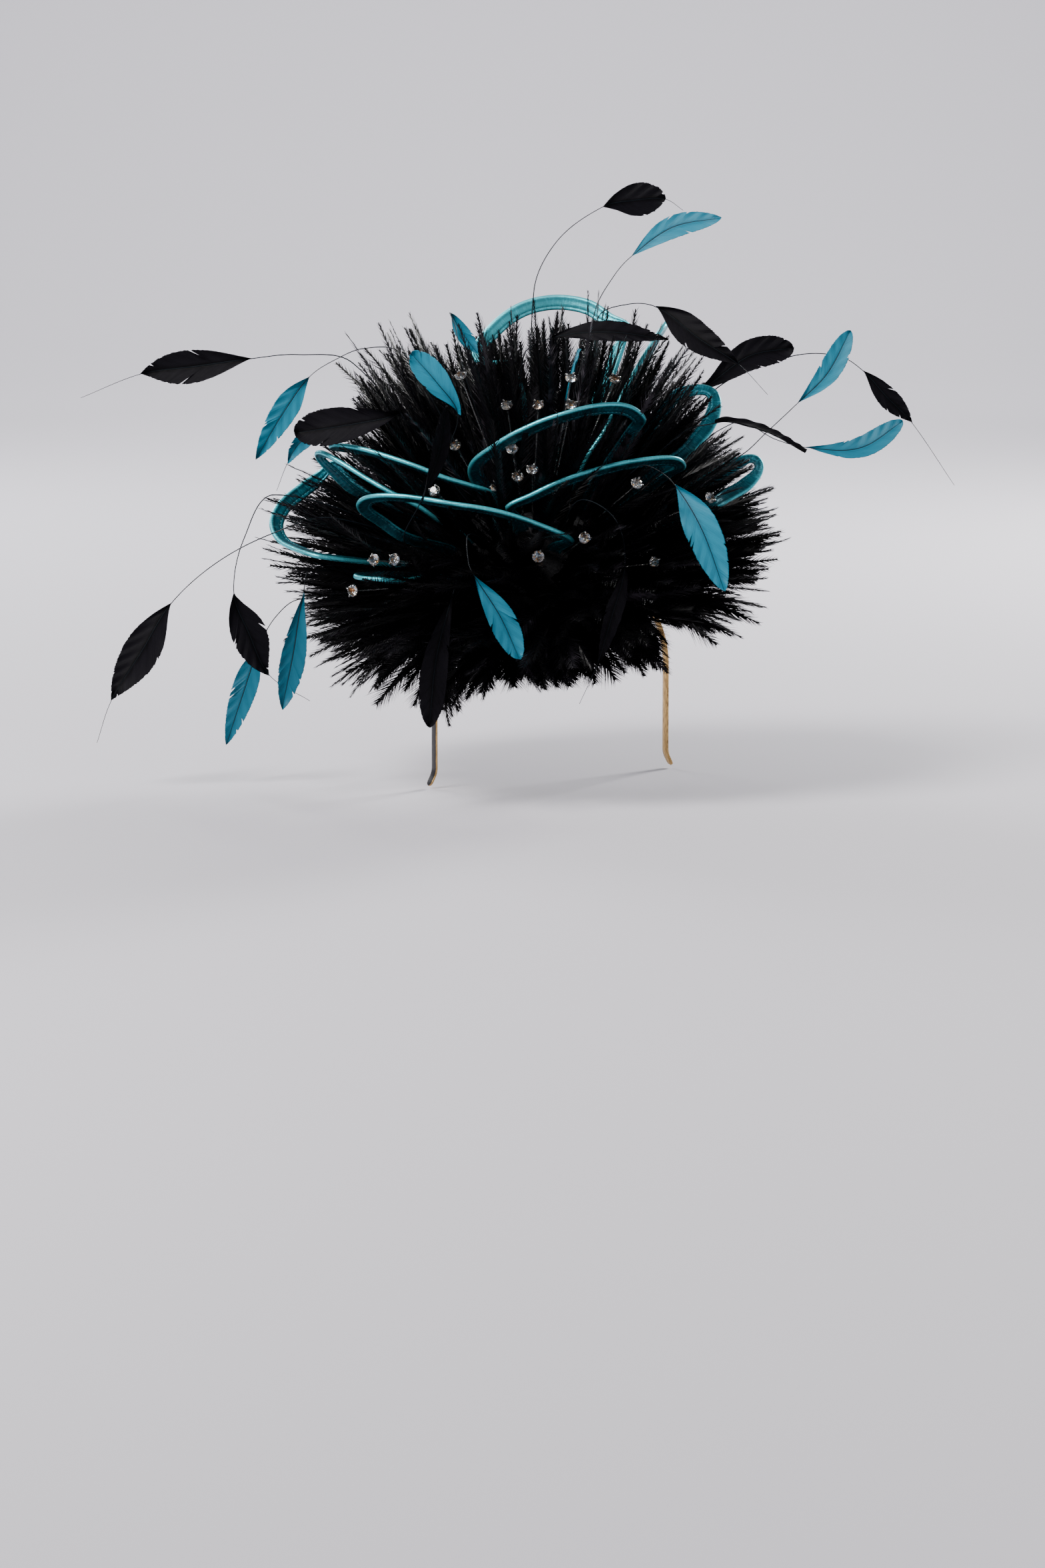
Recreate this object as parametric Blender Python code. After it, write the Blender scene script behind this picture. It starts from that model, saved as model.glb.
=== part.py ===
"""A fascinator: a thin Alice band carries a small domed base, and on the base sits a
rosette of hackle feathers. Out of the rosette rise satin-covered loops, crystals on
twisted wires and stripped feathers on bare quills.

Frame: origin at the underside of the band where it rests on the crown of the head,
+Z up, -Y the wearer's front, -X the wearer's right. Sizes below are in millimetres.
"""
import bpy
import bmesh
import numpy as np
from collections import namedtuple
from math import cos, pi, radians, sin
from mathutils import Vector
from mathutils.bvhtree import BVHTree
from random import Random

MM = 0.001

# Alice band
BAND_WIDTH = 5.4
BAND_THICK = 1.3
CROWN_RADIUS = 84.0
CROWN_HALF_ANGLE = 40.0
ARM_HALF_SPAN = 74.0
ARM_STRAIGHT_END = -110.0
TIP_LENGTH = 11.0
TIP_FLARE = 28.0

# base and rosette, turned round a leaning axis through the centre of the crown arc
HEAD_CENTRE = Vector((0, 0, -CROWN_RADIUS))
LEAN_AXIS = Vector((-0.262, -0.176, 1.0)).normalized()
ROSETTE_MIDDLE = HEAD_CENTRE + 78.0 * LEAN_AXIS
SEAT_GAP = 0.3
BASE_THICK = 2.0
FACET_SAG = 0.9
BASE_INNER = CROWN_RADIUS + BAND_THICK + SEAT_GAP + FACET_SAG
BASE_OUTER = BASE_INNER + BASE_THICK
RIM_ANGLES = (12.0, 24.0, 36.0)
FACETS_AROUND = 24

# the view in which routes are measured: from the wearer's right front, a little above
VIEW_TURN = radians(-30.0)
VIEW_RISE = radians(8.7)

# flat satin strip, and the parts of a wired crystal
STRIP_WIDTH = 8.5
STRIP_THICK = 2.6
WIRE_HALF = 0.45
STONE_RADIUS = 3.25
CUP_DEPTH = 3.4
# height above the cup's foot and radius: cup foot, cup lip, girdle, table
STONE_STAGES = ((0.0, 2.1), (2.3, STONE_RADIUS), (3.1, STONE_RADIUS), (4.4, 1.9))
STONE_SIDES = 8
LIFT_OFF = 6.0


def placed(across, up, toward):
    """A point given across, up and toward the viewer, as a point of the part's frame."""
    right = Vector((cos(VIEW_TURN), sin(VIEW_TURN), 0))
    near = Vector((sin(VIEW_TURN) * cos(VIEW_RISE), -cos(VIEW_TURN) * cos(VIEW_RISE), sin(VIEW_RISE)))
    top = near.cross(right)
    return across * right + up * top + toward * near


# Routes start and end at the first and last place where a piece shows above the
# hackles; rooted() carries them on to the rosette. Columns: across, up, toward.
Feather = namedtuple("Feather", "name colour width blade_from blade_to facing route")
FEATHERS = (
    Feather("feather_black_top", "black", 19, 2, 4, (0, 0, 1), (
        (-10, 149, 10), (3, 177, 8), (28, 196, 5), (45, 200, 2), (63, 201, 0), (73, 195, -2))),
    Feather("feather_teal_top", "teal", 13, 2, 4, (0, 0, 1), (
        (24, 138, 20), (34, 156, 22), (43, 166, 24), (66, 182, 28), (93, 187, 30))),
    Feather("feather_black_upper_right", "black", 16, 2, 4, (0, 0, 1), (
        (25, 132, 30), (41, 139, 35), (57, 137, 40), (80, 119, 48), (102, 104, 52), (117, 88, 54))),
    Feather("feather_black_round_right", "black", 17, 0, 3, (0, 0, 1), (
        (80, 93, 5), (89, 99, 5), (110, 114, 0), (134, 119, -6))),
    Feather("feather_teal_upper_right", "teal", 14, 2, 4, (0, 0, 1), (
        (105, 58, 20), (118, 70, 18), (135, 86, 15), (152, 103, 12), (165, 127, 10))),
    Feather("feather_teal_right", "teal", 13, 2, 4, (0, 0.3, 1), (
        (99, 74, 35), (123, 65, 33), (139, 61, 30), (169, 61, 26), (193, 76, 22))),
    Feather("feather_black_right_edge", "black", 10, 1, 4, (0, 1, 0.4), (
        (70, 66, 70), (88, 72, 60), (96, 73, 57), (117, 68, 50), (138, 57, 46))),
    Feather("feather_black_far_right", "black", 11, 3, 5, (0, 0, 1), (
        (92, 97, -12), (133, 115, -16), (160, 116, -20), (174, 108, -22), (188, 93, -24),
        (202, 79, -26), (226, 44, -28))),
    Feather("feather_teal_front_right", "teal", 18, 2, 4, (0, 0, 1), (
        (46, 46, 95), (55, 44, 104), (65, 35, 110), (79, 11, 116), (91, -21, 112))),
    Feather("feather_teal_front", "teal", 15, 2, 4, (0, 0, 1), (
        (-45, 9, 110), (-45, -6, 116), (-42, -13, 118), (-28, -35, 118), (-18, -57, 112))),
    Feather("feather_black_front_thin", "black", 11, 2, 4, (0.5, 0, 1), (
        (15, 28, 100), (33, 17, 112), (38, -7, 116), (31, -35, 114), (23, -61, 108), (14, -81, 104))),
    Feather("feather_black_front_broad", "black", 14, 1, 3, (0, 0, 1), (
        (-48, -8, 108), (-53, -22, 112), (-62, -56, 110), (-66, -93, 100))),
    Feather("feather_teal_low_left", "teal", 14, 1, 3, (0.3, 0, 1), (
        (-130, -6, 60), (-135, -20, 62), (-141, -55, 60), (-147, -83, 56))),
    Feather("feather_teal_lower_left", "teal", 14, 2, 4, (0, 0, 1), (
        (-140, -22, 20), (-152, -31, 18), (-161, -46, 16), (-170, -72, 14), (-180, -102, 12))),
    Feather("feather_black_lower_left", "black", 20, 2, 4, (0, 0, 1), (
        (-151, 34, 48), (-168, 11, 44), (-174, -19, 42), (-166, -41, 38), (-155, -64, 34),
        (-133, -78, 30))),
    Feather("feather_black_far_left", "black", 21, 3, 5, (0, 0, 1), (
        (-120, 20, 72), (-150, 13, 60), (-182, -2, 44), (-208, -24, 36), (-225, -51, 33),
        (-242, -78, 30), (-250, -101, 28))),
    Feather("feather_black_upper_left", "black", 18, 2, 4, (0, 0, 1), (
        (-110, 109, 10), (-141, 114, 8), (-166, 112, 6), (-197, 108, 3), (-228, 104, 0), (-262, 91, -4))),
    Feather("feather_teal_upper_left", "teal", 13, 3, 5, (0, 0, 1), (
        (-83, 112, 36), (-103, 115, 34), (-119, 109, 32), (-133, 100, 30), (-148, 80, 26),
        (-163, 55, 22))),
    Feather("feather_black_round_left", "black", 20, 0, 3, (0, 0.2, 1), (
        (-82, 75, 75), (-91, 73, 78), (-115, 69, 76), (-139, 66, 70))),
    Feather("feather_teal_centre_left", "teal", 12, 1, 3, (0.3, 0, 1), (
        (-56, 52, 72), (-51, 75, 88), (-62, 91, 93), (-76, 107, 90))),
    Feather("feather_teal_small_top", "teal", 8, 2, 4, (0, 0.5, 1), (
        (-48, 100, 50), (-53, 126, 46), (-56, 134, 42), (-50, 124, 39), (-41, 112, 38))),
    Feather("feather_black_centre", "black", 11, 1, 3, (1, 0, 0.6), (
        (-79, 5, 98), (-70, 27, 116), (-61, 52, 114), (-57, 78, 106))),
    Feather("feather_black_top_flat", "black", 12, 1, 3, (0, 1, 0.7), (
        (-16, 109, 45), (-1, 119, 50), (31, 122, 54), (63, 118, 50))),
    Feather("feather_teal_edge_up", "teal", 8, 0, 2, (1, 0, 0.3), (
        (7, 85, 50), (10, 99, 54), (14, 113, 56))),
    Feather("feather_teal_left_curl", "teal", 8, 0, 2, (0.6, 0, 1), (
        (-127, 68, 38), (-138, 63, 38), (-145, 52, 36), (-151, 37, 34))),
)

Loop = namedtuple("Loop", "name plane route")
LOOPS = (
    Loop("satin_loop_back", (0, 0, 1), (
        (-23, 105, 30), (-40, 108, 22), (-45, 115, 16), (-41, 123, 12), (-28, 137, 6), (-14, 145, 2),
        (3, 148, 0), (21, 145, 2), (33, 137, 6), (43, 128, 14))),
    Loop("satin_loop_tall", (0.86, -0.51, 0), (
        (46, 98, 2), (58, 121, 5), (64, 131, 16), (62, 129, 28), (53, 115, 38), (40, 92, 48),
        (28, 68, 53), (20, 56, 54))),
    Loop("satin_loop_upper", (0, 1, 0.2), (
        (-46, 46, 70), (-30, 60, 86), (-12, 69, 94), (5, 75, 96), (25, 80, 92), (41, 80, 86),
        (50, 74, 78), (48, 69, 68))),
    Loop("satin_loop_middle", (0, 1, 0.2), (
        (-26, 24, 88), (-11, 32, 94), (7, 40, 97), (34, 48, 94), (56, 52, 86), (68, 52, 78),
        (72, 48, 70), (65, 44, 60))),
    Loop("satin_loop_right", (0.5, 0, 1), (
        (65, 91, 22), (79, 96, 22), (90, 93, 24), (93, 83, 28), (89, 71, 34), (81, 61, 40), (73, 53, 46))),
    Loop("satin_loop_far_right", (0, 0.3, 1), (
        (89, 50, 14), (102, 57, 12), (113, 58, 12), (117, 51, 14), (111, 40, 20), (99, 32, 28),
        (88, 26, 38))),
    Loop("satin_loop_left", (0, 1, 0.2), (
        (-96, 56, 48), (-110, 58, 50), (-121, 59, 57), (-118, 60, 68), (-106, 58, 76), (-90, 53, 84),
        (-73, 47, 88), (-58, 41, 88), (-44, 37, 84), (-32, 33, 76))),
    Loop("satin_loop_left_low", (0, 1, 0.3), (
        (-106, 32, 46), (-122, 46, 50), (-129, 55, 58), (-125, 56, 68), (-113, 49, 76), (-99, 40, 82),
        (-85, 32, 86), (-71, 25, 84), (-61, 18, 78))),
    Loop("satin_loop_front", (0, 1, 0.2), (
        (11, 7, 92), (-7, 15, 102), (-30, 22, 108), (-54, 26, 108), (-77, 30, 102), (-94, 31, 96),
        (-104, 29, 86), (-105, 24, 74), (-94, 16, 66), (-82, 8, 64))),
    Loop("satin_loop_far_left", (0.3, 0.2, 1), (
        (-119, 55, 10), (-128, 50, 8), (-136, 37, 14), (-148, 27, 24), (-154, 19, 34), (-149, 10, 44),
        (-139, 4, 54), (-125, -1, 64))),
    Loop("satin_loop_low", (0, 1, 0.1), (
        (-97, -9, 70), (-107, -11, 80), (-103, -13, 91), (-90, -14, 96), (-76, -14, 92), (-67, -11, 80))),
)

Crystal = namedtuple("Crystal", "across up toward")
CRYSTALS = (
    Crystal(-50, 98, 66), Crystal(-25, 81, 78), Crystal(-8, 81, 80), Crystal(10, 96, 74),
    Crystal(10, 81, 80), Crystal(-53, 60, 66), Crystal(-22, 57, 84), Crystal(-19, 42, 86),
    Crystal(-11, 46, 84), Crystal(-31, 38, 66), Crystal(-64, 34, 88), Crystal(17, 7, 116),
    Crystal(-8, -3, 120), Crystal(34, 97, 56), Crystal(45, 37, 104), Crystal(86, 32, 60),
    Crystal(-96, -4, 104), Crystal(-85, -4, 106), Crystal(-108, -20, 88), Crystal(55, -5, 92),
)

# profile of the rosette's two halves: distance from the axis, height above HEAD_CENTRE
CROWN_PROFILE = ((14.0, 127.0), (30.0, 121.0), (44.0, 111.0), (53.5, 99.5), (58.5, 88.9))
SKIRT_PROFILE = ((58.5, 88.5), (64.0, 77.5), (68.0, 66.5), (70.5, 56.0))
SKIRT_FOOT = (67.9, 53.1)
SKIRT_INNER_RADIUS = BASE_OUTER + 0.4
SKIRT_NECK_RADIUS = 86.4
SKIRT_NECK_ANGLE = 43.0

# one row for each band of locks: lean from the axis in degrees, reach, droop at the tip
Lock = namedtuple("Lock", "lean reach droop")
CROWN_LOCKS = (Lock(14, 86, 0), Lock(32, 88, 4), Lock(49, 88, 8), Lock(65, 88, 12))
SKIRT_LOCKS = (Lock(79, 86, 12), Lock(90, 78, 22), Lock(104, 58, 22))
LOCK_SECTIONS = ((0.12, 0.60), (0.56, 0.36), (1.0, 0.03))
LOCK_CLEARANCE = 2.2
LOCK_SHORTEST = 0.3
SEED = 11

MATERIALS = {
    "band": ((0.012, 0.012, 0.014, 1), 0.45, 0.0),
    "hackle": ((0.010, 0.010, 0.012, 1), 0.38, 0.0),
    "black": ((0.014, 0.013, 0.017, 1), 0.42, 0.0),
    "teal": ((0.027, 0.292, 0.418, 1), 0.50, 0.0),
    "satin": ((0.020, 0.330, 0.430, 1), 0.28, 0.0),
    "base": ((0.010, 0.010, 0.011, 1), 0.80, 0.0),
    "crystal": ((0.80, 0.82, 0.86, 1), 0.12, 0.85),
}


def material(name, slot):
    """A plain finish for one piece."""
    colour, rough, metal = MATERIALS[slot]
    made = bpy.data.materials.new(name + "_finish")
    made.use_nodes = True
    shader = made.node_tree.nodes["Principled BSDF"]
    shader.inputs["Base Color"].default_value = colour
    shader.inputs["Roughness"].default_value = rough
    shader.inputs["Metallic"].default_value = metal
    return made


def solid(name, points, faces, slot):
    """A closed object from points in millimetres, its faces turned outwards."""
    mesh = bpy.data.meshes.new(name)
    mesh.from_pydata([tuple(Vector(p) * MM) for p in points], [], faces)
    work = bmesh.new()
    work.from_mesh(mesh)
    bmesh.ops.recalc_face_normals(work, faces=work.faces)
    work.to_mesh(mesh)
    work.free()
    mesh.materials.append(material(name, slot))
    thing = bpy.data.objects.new(name, mesh)
    bpy.context.scene.collection.objects.link(thing)
    return thing


def skin(rings, closed=False):
    """Faces that join equal rings of points in order, with both ends capped or joined."""
    count = len(rings[0])
    points = [p for ring in rings for p in ring]
    faces = []
    steps = len(rings) if closed else len(rings) - 1
    for i in range(steps):
        a = i * count
        b = (i + 1) % len(rings) * count
        faces += [(a + j, a + (j + 1) % count, b + (j + 1) % count, b + j) for j in range(count)]
    if not closed:
        faces.append(tuple(range(count)))
        faces.append(tuple(range(len(points) - count, len(points))))
    return points, faces


def smooth(points, step):
    """A rounded line through the points, cut at about the given step."""
    ends = [2 * points[0] - points[1]] + list(points) + [2 * points[-1] - points[-2]]
    line = []
    for before, a, b, after in zip(ends, ends[1:], ends[2:], ends[3:]):
        cuts = max(1, round((b - a).length / step))
        span = (b - a).length
        leave = (b - before).normalized() * span
        arrive = (after - a).normalized() * span
        for i in range(cuts):
            t = i / cuts
            line.append((2 * t**3 - 3 * t**2 + 1) * a + (t**3 - 2 * t**2 + t) * leave
                        + (3 * t**2 - 2 * t**3) * b + (t**3 - t**2) * arrive)
    return line + [points[-1]]


def along(line):
    """Directions of a line at its points, with its two ends along their own spans."""
    found = [line[1] - line[0]]
    found += [line[i + 1] - line[i - 1] for i in range(1, len(line) - 1)]
    found.append(line[-1] - line[-2])
    return [d.normalized() for d in found]


def carried_frames(line, middle, normal):
    """Directions, and normals carried without twist from the middle point to both ends."""
    heading = along(line)
    normal = (normal - normal.dot(heading[middle]) * heading[middle]).normalized()
    normals = [normal] * len(line)
    for order in (range(middle + 1, len(line)), range(middle - 1, -1, -1)):
        last = middle
        for i in order:
            normals[i] = heading[last].rotation_difference(heading[i]) @ normals[last]
            last = i
    return heading, normals


# Alice band

def band_line():
    """Half of the band's inner line from the crown to the flared tip, in X and Z."""
    side_radius = (ARM_HALF_SPAN - CROWN_RADIUS * sin(radians(CROWN_HALF_ANGLE))) / (
        1 - sin(radians(CROWN_HALF_ANGLE)))
    side_x = ARM_HALF_SPAN - side_radius
    drop = cos(radians(CROWN_HALF_ANGLE))
    side_z = CROWN_RADIUS * (drop - 1) - side_radius * drop
    half = []
    for angle in range(0, int(CROWN_HALF_ANGLE), 8):
        turn = radians(angle)
        half.append((CROWN_RADIUS * sin(turn), CROWN_RADIUS * (cos(turn) - 1), angle))
    for angle in range(int(CROWN_HALF_ANGLE), 91, 10):
        turn = radians(angle)
        half.append((side_x + side_radius * sin(turn), side_z + side_radius * cos(turn), angle))
    half.append((ARM_HALF_SPAN, ARM_STRAIGHT_END, 90))
    bend = radians(TIP_FLARE)
    half.append((ARM_HALF_SPAN + 0.5 * TIP_LENGTH * sin(bend / 2),
                 ARM_STRAIGHT_END - 0.5 * TIP_LENGTH * cos(bend / 2), 90 - TIP_FLARE))
    half.append((ARM_HALF_SPAN + TIP_LENGTH * sin(bend * 0.8),
                 ARM_STRAIGHT_END - TIP_LENGTH * cos(bend * 0.8), 90 - TIP_FLARE))
    return half


def headband():
    half = band_line()
    line = [(-x, z, -angle) for x, z, angle in reversed(half[1:])] + half
    rings = []
    for i, (x, z, angle) in enumerate(line):
        tip = i in (0, len(line) - 1)
        half_width = BAND_WIDTH / 2 * (0.55 if tip else 1.0)
        out = Vector((sin(radians(angle)), 0, cos(radians(angle))))
        inner = Vector((x, 0, z))
        outer = inner + BAND_THICK * out
        wide = Vector((0, half_width, 0))
        rings.append([inner - wide, inner + wide, outer + wide, outer - wide])
    return solid("headband", *skin(rings), "band")


# base and rosette

def turned_point(radius, height, turn):
    """A point of a form turned round the leaning axis."""
    side = LEAN_AXIS.orthogonal().normalized()
    other = LEAN_AXIS.cross(side)
    return HEAD_CENTRE + height * LEAN_AXIS + radius * (cos(turn) * side + sin(turn) * other)


def turned_rings(profile):
    turns = [2 * pi * i / FACETS_AROUND for i in range(FACETS_AROUND)]
    return [[turned_point(r, h, turn) for turn in turns] for r, h in profile]


def on_sphere(radius, angle):
    return radius * sin(radians(angle)), radius * cos(radians(angle))


def feather_base():
    inner = [on_sphere(BASE_INNER, a) for a in (3.0,) + RIM_ANGLES]
    outer = [on_sphere(BASE_OUTER, a) for a in RIM_ANGLES[::-1] + (3.0,)]
    return solid("feather_base", *skin(turned_rings(inner + outer)), "base")


def crown_shell():
    """The upper half of the rosette, flat underneath."""
    return skin(turned_rings(CROWN_PROFILE[::-1]))


def skirt_shell():
    """The lower half of the rosette, a ring whose underside follows the base."""
    neck = RIM_ANGLES[0]
    under = [SKIRT_FOOT, on_sphere(SKIRT_NECK_RADIUS, SKIRT_NECK_ANGLE)]
    under += [on_sphere(SKIRT_INNER_RADIUS, a) for a in (38.0,) + RIM_ANGLES[::-1]]
    top_inner = (on_sphere(SKIRT_INNER_RADIUS, neck)[0], SKIRT_PROFILE[0][1])
    return skin(turned_rings(list(SKIRT_PROFILE) + under + [top_inner]), closed=True)


def rosette_tree():
    """The rosette's outer faces, for finding where stems leave it."""
    rings = turned_rings(SKIRT_PROFILE[::-1] + CROWN_PROFILE[::-1])
    return BVHTree.FromPolygons(*skin(rings))


def foot_of(tree, point):
    """Where a stem that heads for the point leaves the rosette, and the face's normal."""
    spot, normal, _, _ = tree.ray_cast(ROSETTE_MIDDLE, (point - ROSETTE_MIDDLE).normalized())
    if normal.dot(point - ROSETTE_MIDDLE) < 0:
        normal = -normal
    return spot, normal


def rooted(tree, point):
    """The two points that lead a stem square off its facet."""
    spot, normal = foot_of(tree, point)
    return [spot + SEAT_GAP * normal, spot + min(LIFT_OFF, 0.5 * (point - spot).length) * normal]


# stripped feathers: a bare quill, a trimmed leaf and the bare tail of the quill

def feather(tree, row):
    route = [placed(*p) for p in row.route]
    stem = rooted(tree, route[0])
    points = stem + route
    blade_a = row.blade_from + len(stem)
    blade_b = row.blade_to + len(stem)
    lower = smooth(points[:blade_a + 1], 16.0) if blade_a > 0 else [points[0]]
    leaf = smooth(points[blade_a:blade_b + 1], 9.0)
    upper = smooth(points[blade_b:], 20.0) if blade_b < len(points) - 1 else [points[-1]]
    line = lower[:-1] + leaf + upper[1:]
    first = len(lower) - 1
    last = first + len(leaf) - 1
    heading, normals = carried_frames(line, (first + last) // 2, placed(*row.facing))
    rings = []
    for i, centre in enumerate(line):
        wide = 0.45
        thick = 0.45
        if first <= i <= last:
            share = (i - first) / (last - first)
            wide = max(0.5, row.width / 2 * sin(pi * share ** 0.75) ** 0.7)
            thick = 0.6
        if i == len(line) - 1:
            wide = thick = 0.3
        side = heading[i].cross(normals[i])
        rings.append([centre + side * wide, centre + normals[i] * thick,
                      centre - side * wide, centre - normals[i] * thick])
    return line, solid(row.name, *skin(rings), row.colour)


# satin loops: a flat padded strip bent edgewise, its outer rim the thicker edge

def bend_radius(line, i):
    """Radius of the circle through a point of the line and its two neighbours."""
    if i in (0, len(line) - 1):
        return STRIP_WIDTH * 2
    a, b = line[i] - line[i - 1], line[i + 1] - line[i]
    return (a + b).length / (2 * max(0.001, sin(a.angle(b))))


def satin_loop(tree, row):
    route = [placed(*p) for p in row.route]
    points = rooted(tree, route[0]) + route + rooted(tree, route[-1])[::-1]
    line = smooth(points, 12.0)
    middle = len(line) // 2
    heading, normals = carried_frames(line, middle, placed(*row.plane))
    centre = sum(route, Vector()) / len(route)
    centre = centre.lerp(ROSETTE_MIDDLE, 0.3)
    inward = normals[middle].cross(heading[middle])
    sign = 1 if inward.dot(centre - line[middle]) > 0 else -1
    tight = [bend_radius(line, i) for i in range(len(line))]
    rim = 0.28 * STRIP_THICK
    full = 0.5 * STRIP_THICK
    section = ((0, rim), (0.15, full), (1, 0.8 * full), (1, -0.8 * full), (0.15, -full), (0, -rim))
    rings = []
    for i, (spot, ahead, normal) in enumerate(zip(line, heading, normals)):
        inward = sign * normal.cross(ahead)
        width = min(STRIP_WIDTH, 0.7 * min(tight[max(0, i - 1):i + 2]))
        rings.append([spot + w * width * inward + t * normal for w, t in section])
    return line, solid(row.name, *skin(rings), "satin")


# crystals: a twisted wire, a claw cup and a cut stone with a table, soldered in one

def crystal(tree, name, row):
    spot = placed(*row)
    facing = ((spot - ROSETTE_MIDDLE).normalized() + 0.7 * placed(0, 0, 1)).normalized()
    cup_foot = spot - CUP_DEPTH * facing
    line = smooth(rooted(tree, spot) + [cup_foot - 2 * CUP_DEPTH * facing, cup_foot], 14.0)
    heading, normals = carried_frames(line, len(line) - 1, facing.orthogonal())
    rings = []
    for centre, ahead, normal in zip(line, heading, normals):
        side = ahead.cross(normal)
        rings.append([centre + WIRE_HALF * d for d in (side, normal, -side, -normal)])
    points, faces = skin(rings)
    faces.pop()
    side = facing.cross(normals[-1])
    inner = len(points) - 4
    for height, radius in STONE_STAGES:
        for k in range(STONE_SIDES):
            turn = 2 * pi * k / STONE_SIDES
            spoke = cos(turn) * side + sin(turn) * normals[-1]
            points.append(line[-1] + height * facing + radius * spoke)
    outer = inner + 4
    for k in range(STONE_SIDES):
        j = k // 2
        following = outer + (k + 1) % STONE_SIDES
        faces.append((outer + k, following, inner + j))
        if k % 2:
            faces.append((following, inner + (j + 1) % 4, inner + j))
    for stage in range(len(STONE_STAGES) - 1):
        a = outer + STONE_SIDES * stage
        for k in range(STONE_SIDES):
            n = (k + 1) % STONE_SIDES
            faces.append((a + k, a + n, a + n + STONE_SIDES, a + k + STONE_SIDES))
    faces.append(tuple(range(len(points) - STONE_SIDES, len(points))))
    return line, solid(name, points, faces, "crystal")


# locks of hackle: tapering tufts drawn out of the rosette's facets, clear of the stems

def surface_points(thing):
    """Points spread over an object's faces, for keeping clear of it."""
    found = []
    for face in thing.data.polygons:
        corners = [np.array(thing.data.vertices[v].co) / MM for v in face.vertices]
        middle = sum(corners) / len(corners)
        found.append(middle)
        for a, b in zip(corners, corners[1:] + corners[:1]):
            cuts = max(1, int(np.linalg.norm(b - a) / 3))
            found += [a + (b - a) * i / cuts for i in range(cuts)]
            found += [(a + b) / 4 + middle / 2]
    return found


def lock_line(middle, row, size):
    """The centre line of one lock as a function of the share of its length."""
    radial = middle - HEAD_CENTRE
    radial -= radial.dot(LEAN_AXIS) * LEAN_AXIS
    radial.normalize()
    aim = cos(radians(row.lean)) * LEAN_AXIS + sin(radians(row.lean)) * radial

    def at(share):
        grown = size * share
        return middle + grown * row.reach * aim - Vector((0, 0, row.droop * grown ** 2))
    return at


def clear_size(middle, half, row, size, obstacles):
    """The largest share of its size at which a lock keeps clear, or zero."""
    shares, scales = zip((0.0, 0.9), *LOCK_SECTIONS)
    while size > LOCK_SHORTEST:
        line = lock_line(middle, row, size)
        safe = True
        for k in range(15):
            share = k / 14
            slim = half * np.interp(share, shares, scales) + LOCK_CLEARANCE
            gap = np.min(np.linalg.norm(obstacles - np.array(line(share)), axis=1))
            if gap < slim:
                safe = False
                break
        if safe:
            return size
        size *= 0.86
    return 0


def with_locks(name, shell, rows, obstacles, seed):
    """A rosette half whose outer facets are drawn out into locks."""
    dice = Random(seed)
    points, faces = shell
    faces = [tuple(f) for f in faces]
    for band, row in enumerate(rows):
        for j in range(FACETS_AROUND):
            index = band * FACETS_AROUND + j
            face = faces[index]
            corners = [points[v] for v in face]
            middle = sum(corners, Vector()) / 4
            half = 0.5 * min((corners[0] - corners[1]).length, (corners[1] - corners[2]).length) + 1.5
            size = clear_size(middle, half, row, 0.80 + 0.30 * dice.random(), obstacles)
            if size == 0:
                continue
            line = lock_line(middle, row, size)
            ahead = (line(0.1) - line(0)).normalized()
            flat = [c - middle - (c - middle).dot(ahead) * ahead for c in corners]
            last = face
            for share, scale in LOCK_SECTIONS:
                start = len(points)
                points = points + [line(share) + scale * f for f in flat]
                ring = tuple(range(start, start + 4))
                faces += [(last[k], last[(k + 1) % 4], ring[(k + 1) % 4], ring[k]) for k in range(4)]
                last = ring
            faces[index] = last
    return solid(name, points, faces, "hackle")


def main():
    for thing in list(bpy.data.objects):
        bpy.data.objects.remove(thing, do_unlink=True)
    headband()
    feather_base()
    tree = rosette_tree()
    stems = []
    for row in FEATHERS:
        stems.append(feather(tree, row)[1])
    for row in LOOPS:
        stems.append(satin_loop(tree, row)[1])
    for number, row in enumerate(CRYSTALS, 1):
        stems.append(crystal(tree, "crystal_%02d" % number, row)[1])
    obstacles = np.array([p for stem in stems for p in surface_points(stem)])
    with_locks("hackle_crown", crown_shell(), CROWN_LOCKS[::-1], obstacles, SEED)
    with_locks("hackle_skirt", skirt_shell(), SKIRT_LOCKS, obstacles, SEED + 1)


main()
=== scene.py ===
"""The looks of a fascinator: a black and gold Alice band, a rosette of glossy black
hackles, teal satin loops, cut stones on twisted wire and trimmed feathers on quills.
"""

from collections import namedtuple
from math import acos, atan2, cos, pi, radians, sin, sqrt
from random import Random

import bmesh
import bpy
import numpy as np
from mathutils import Matrix, Vector
from mathutils.bvhtree import BVHTree


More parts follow.
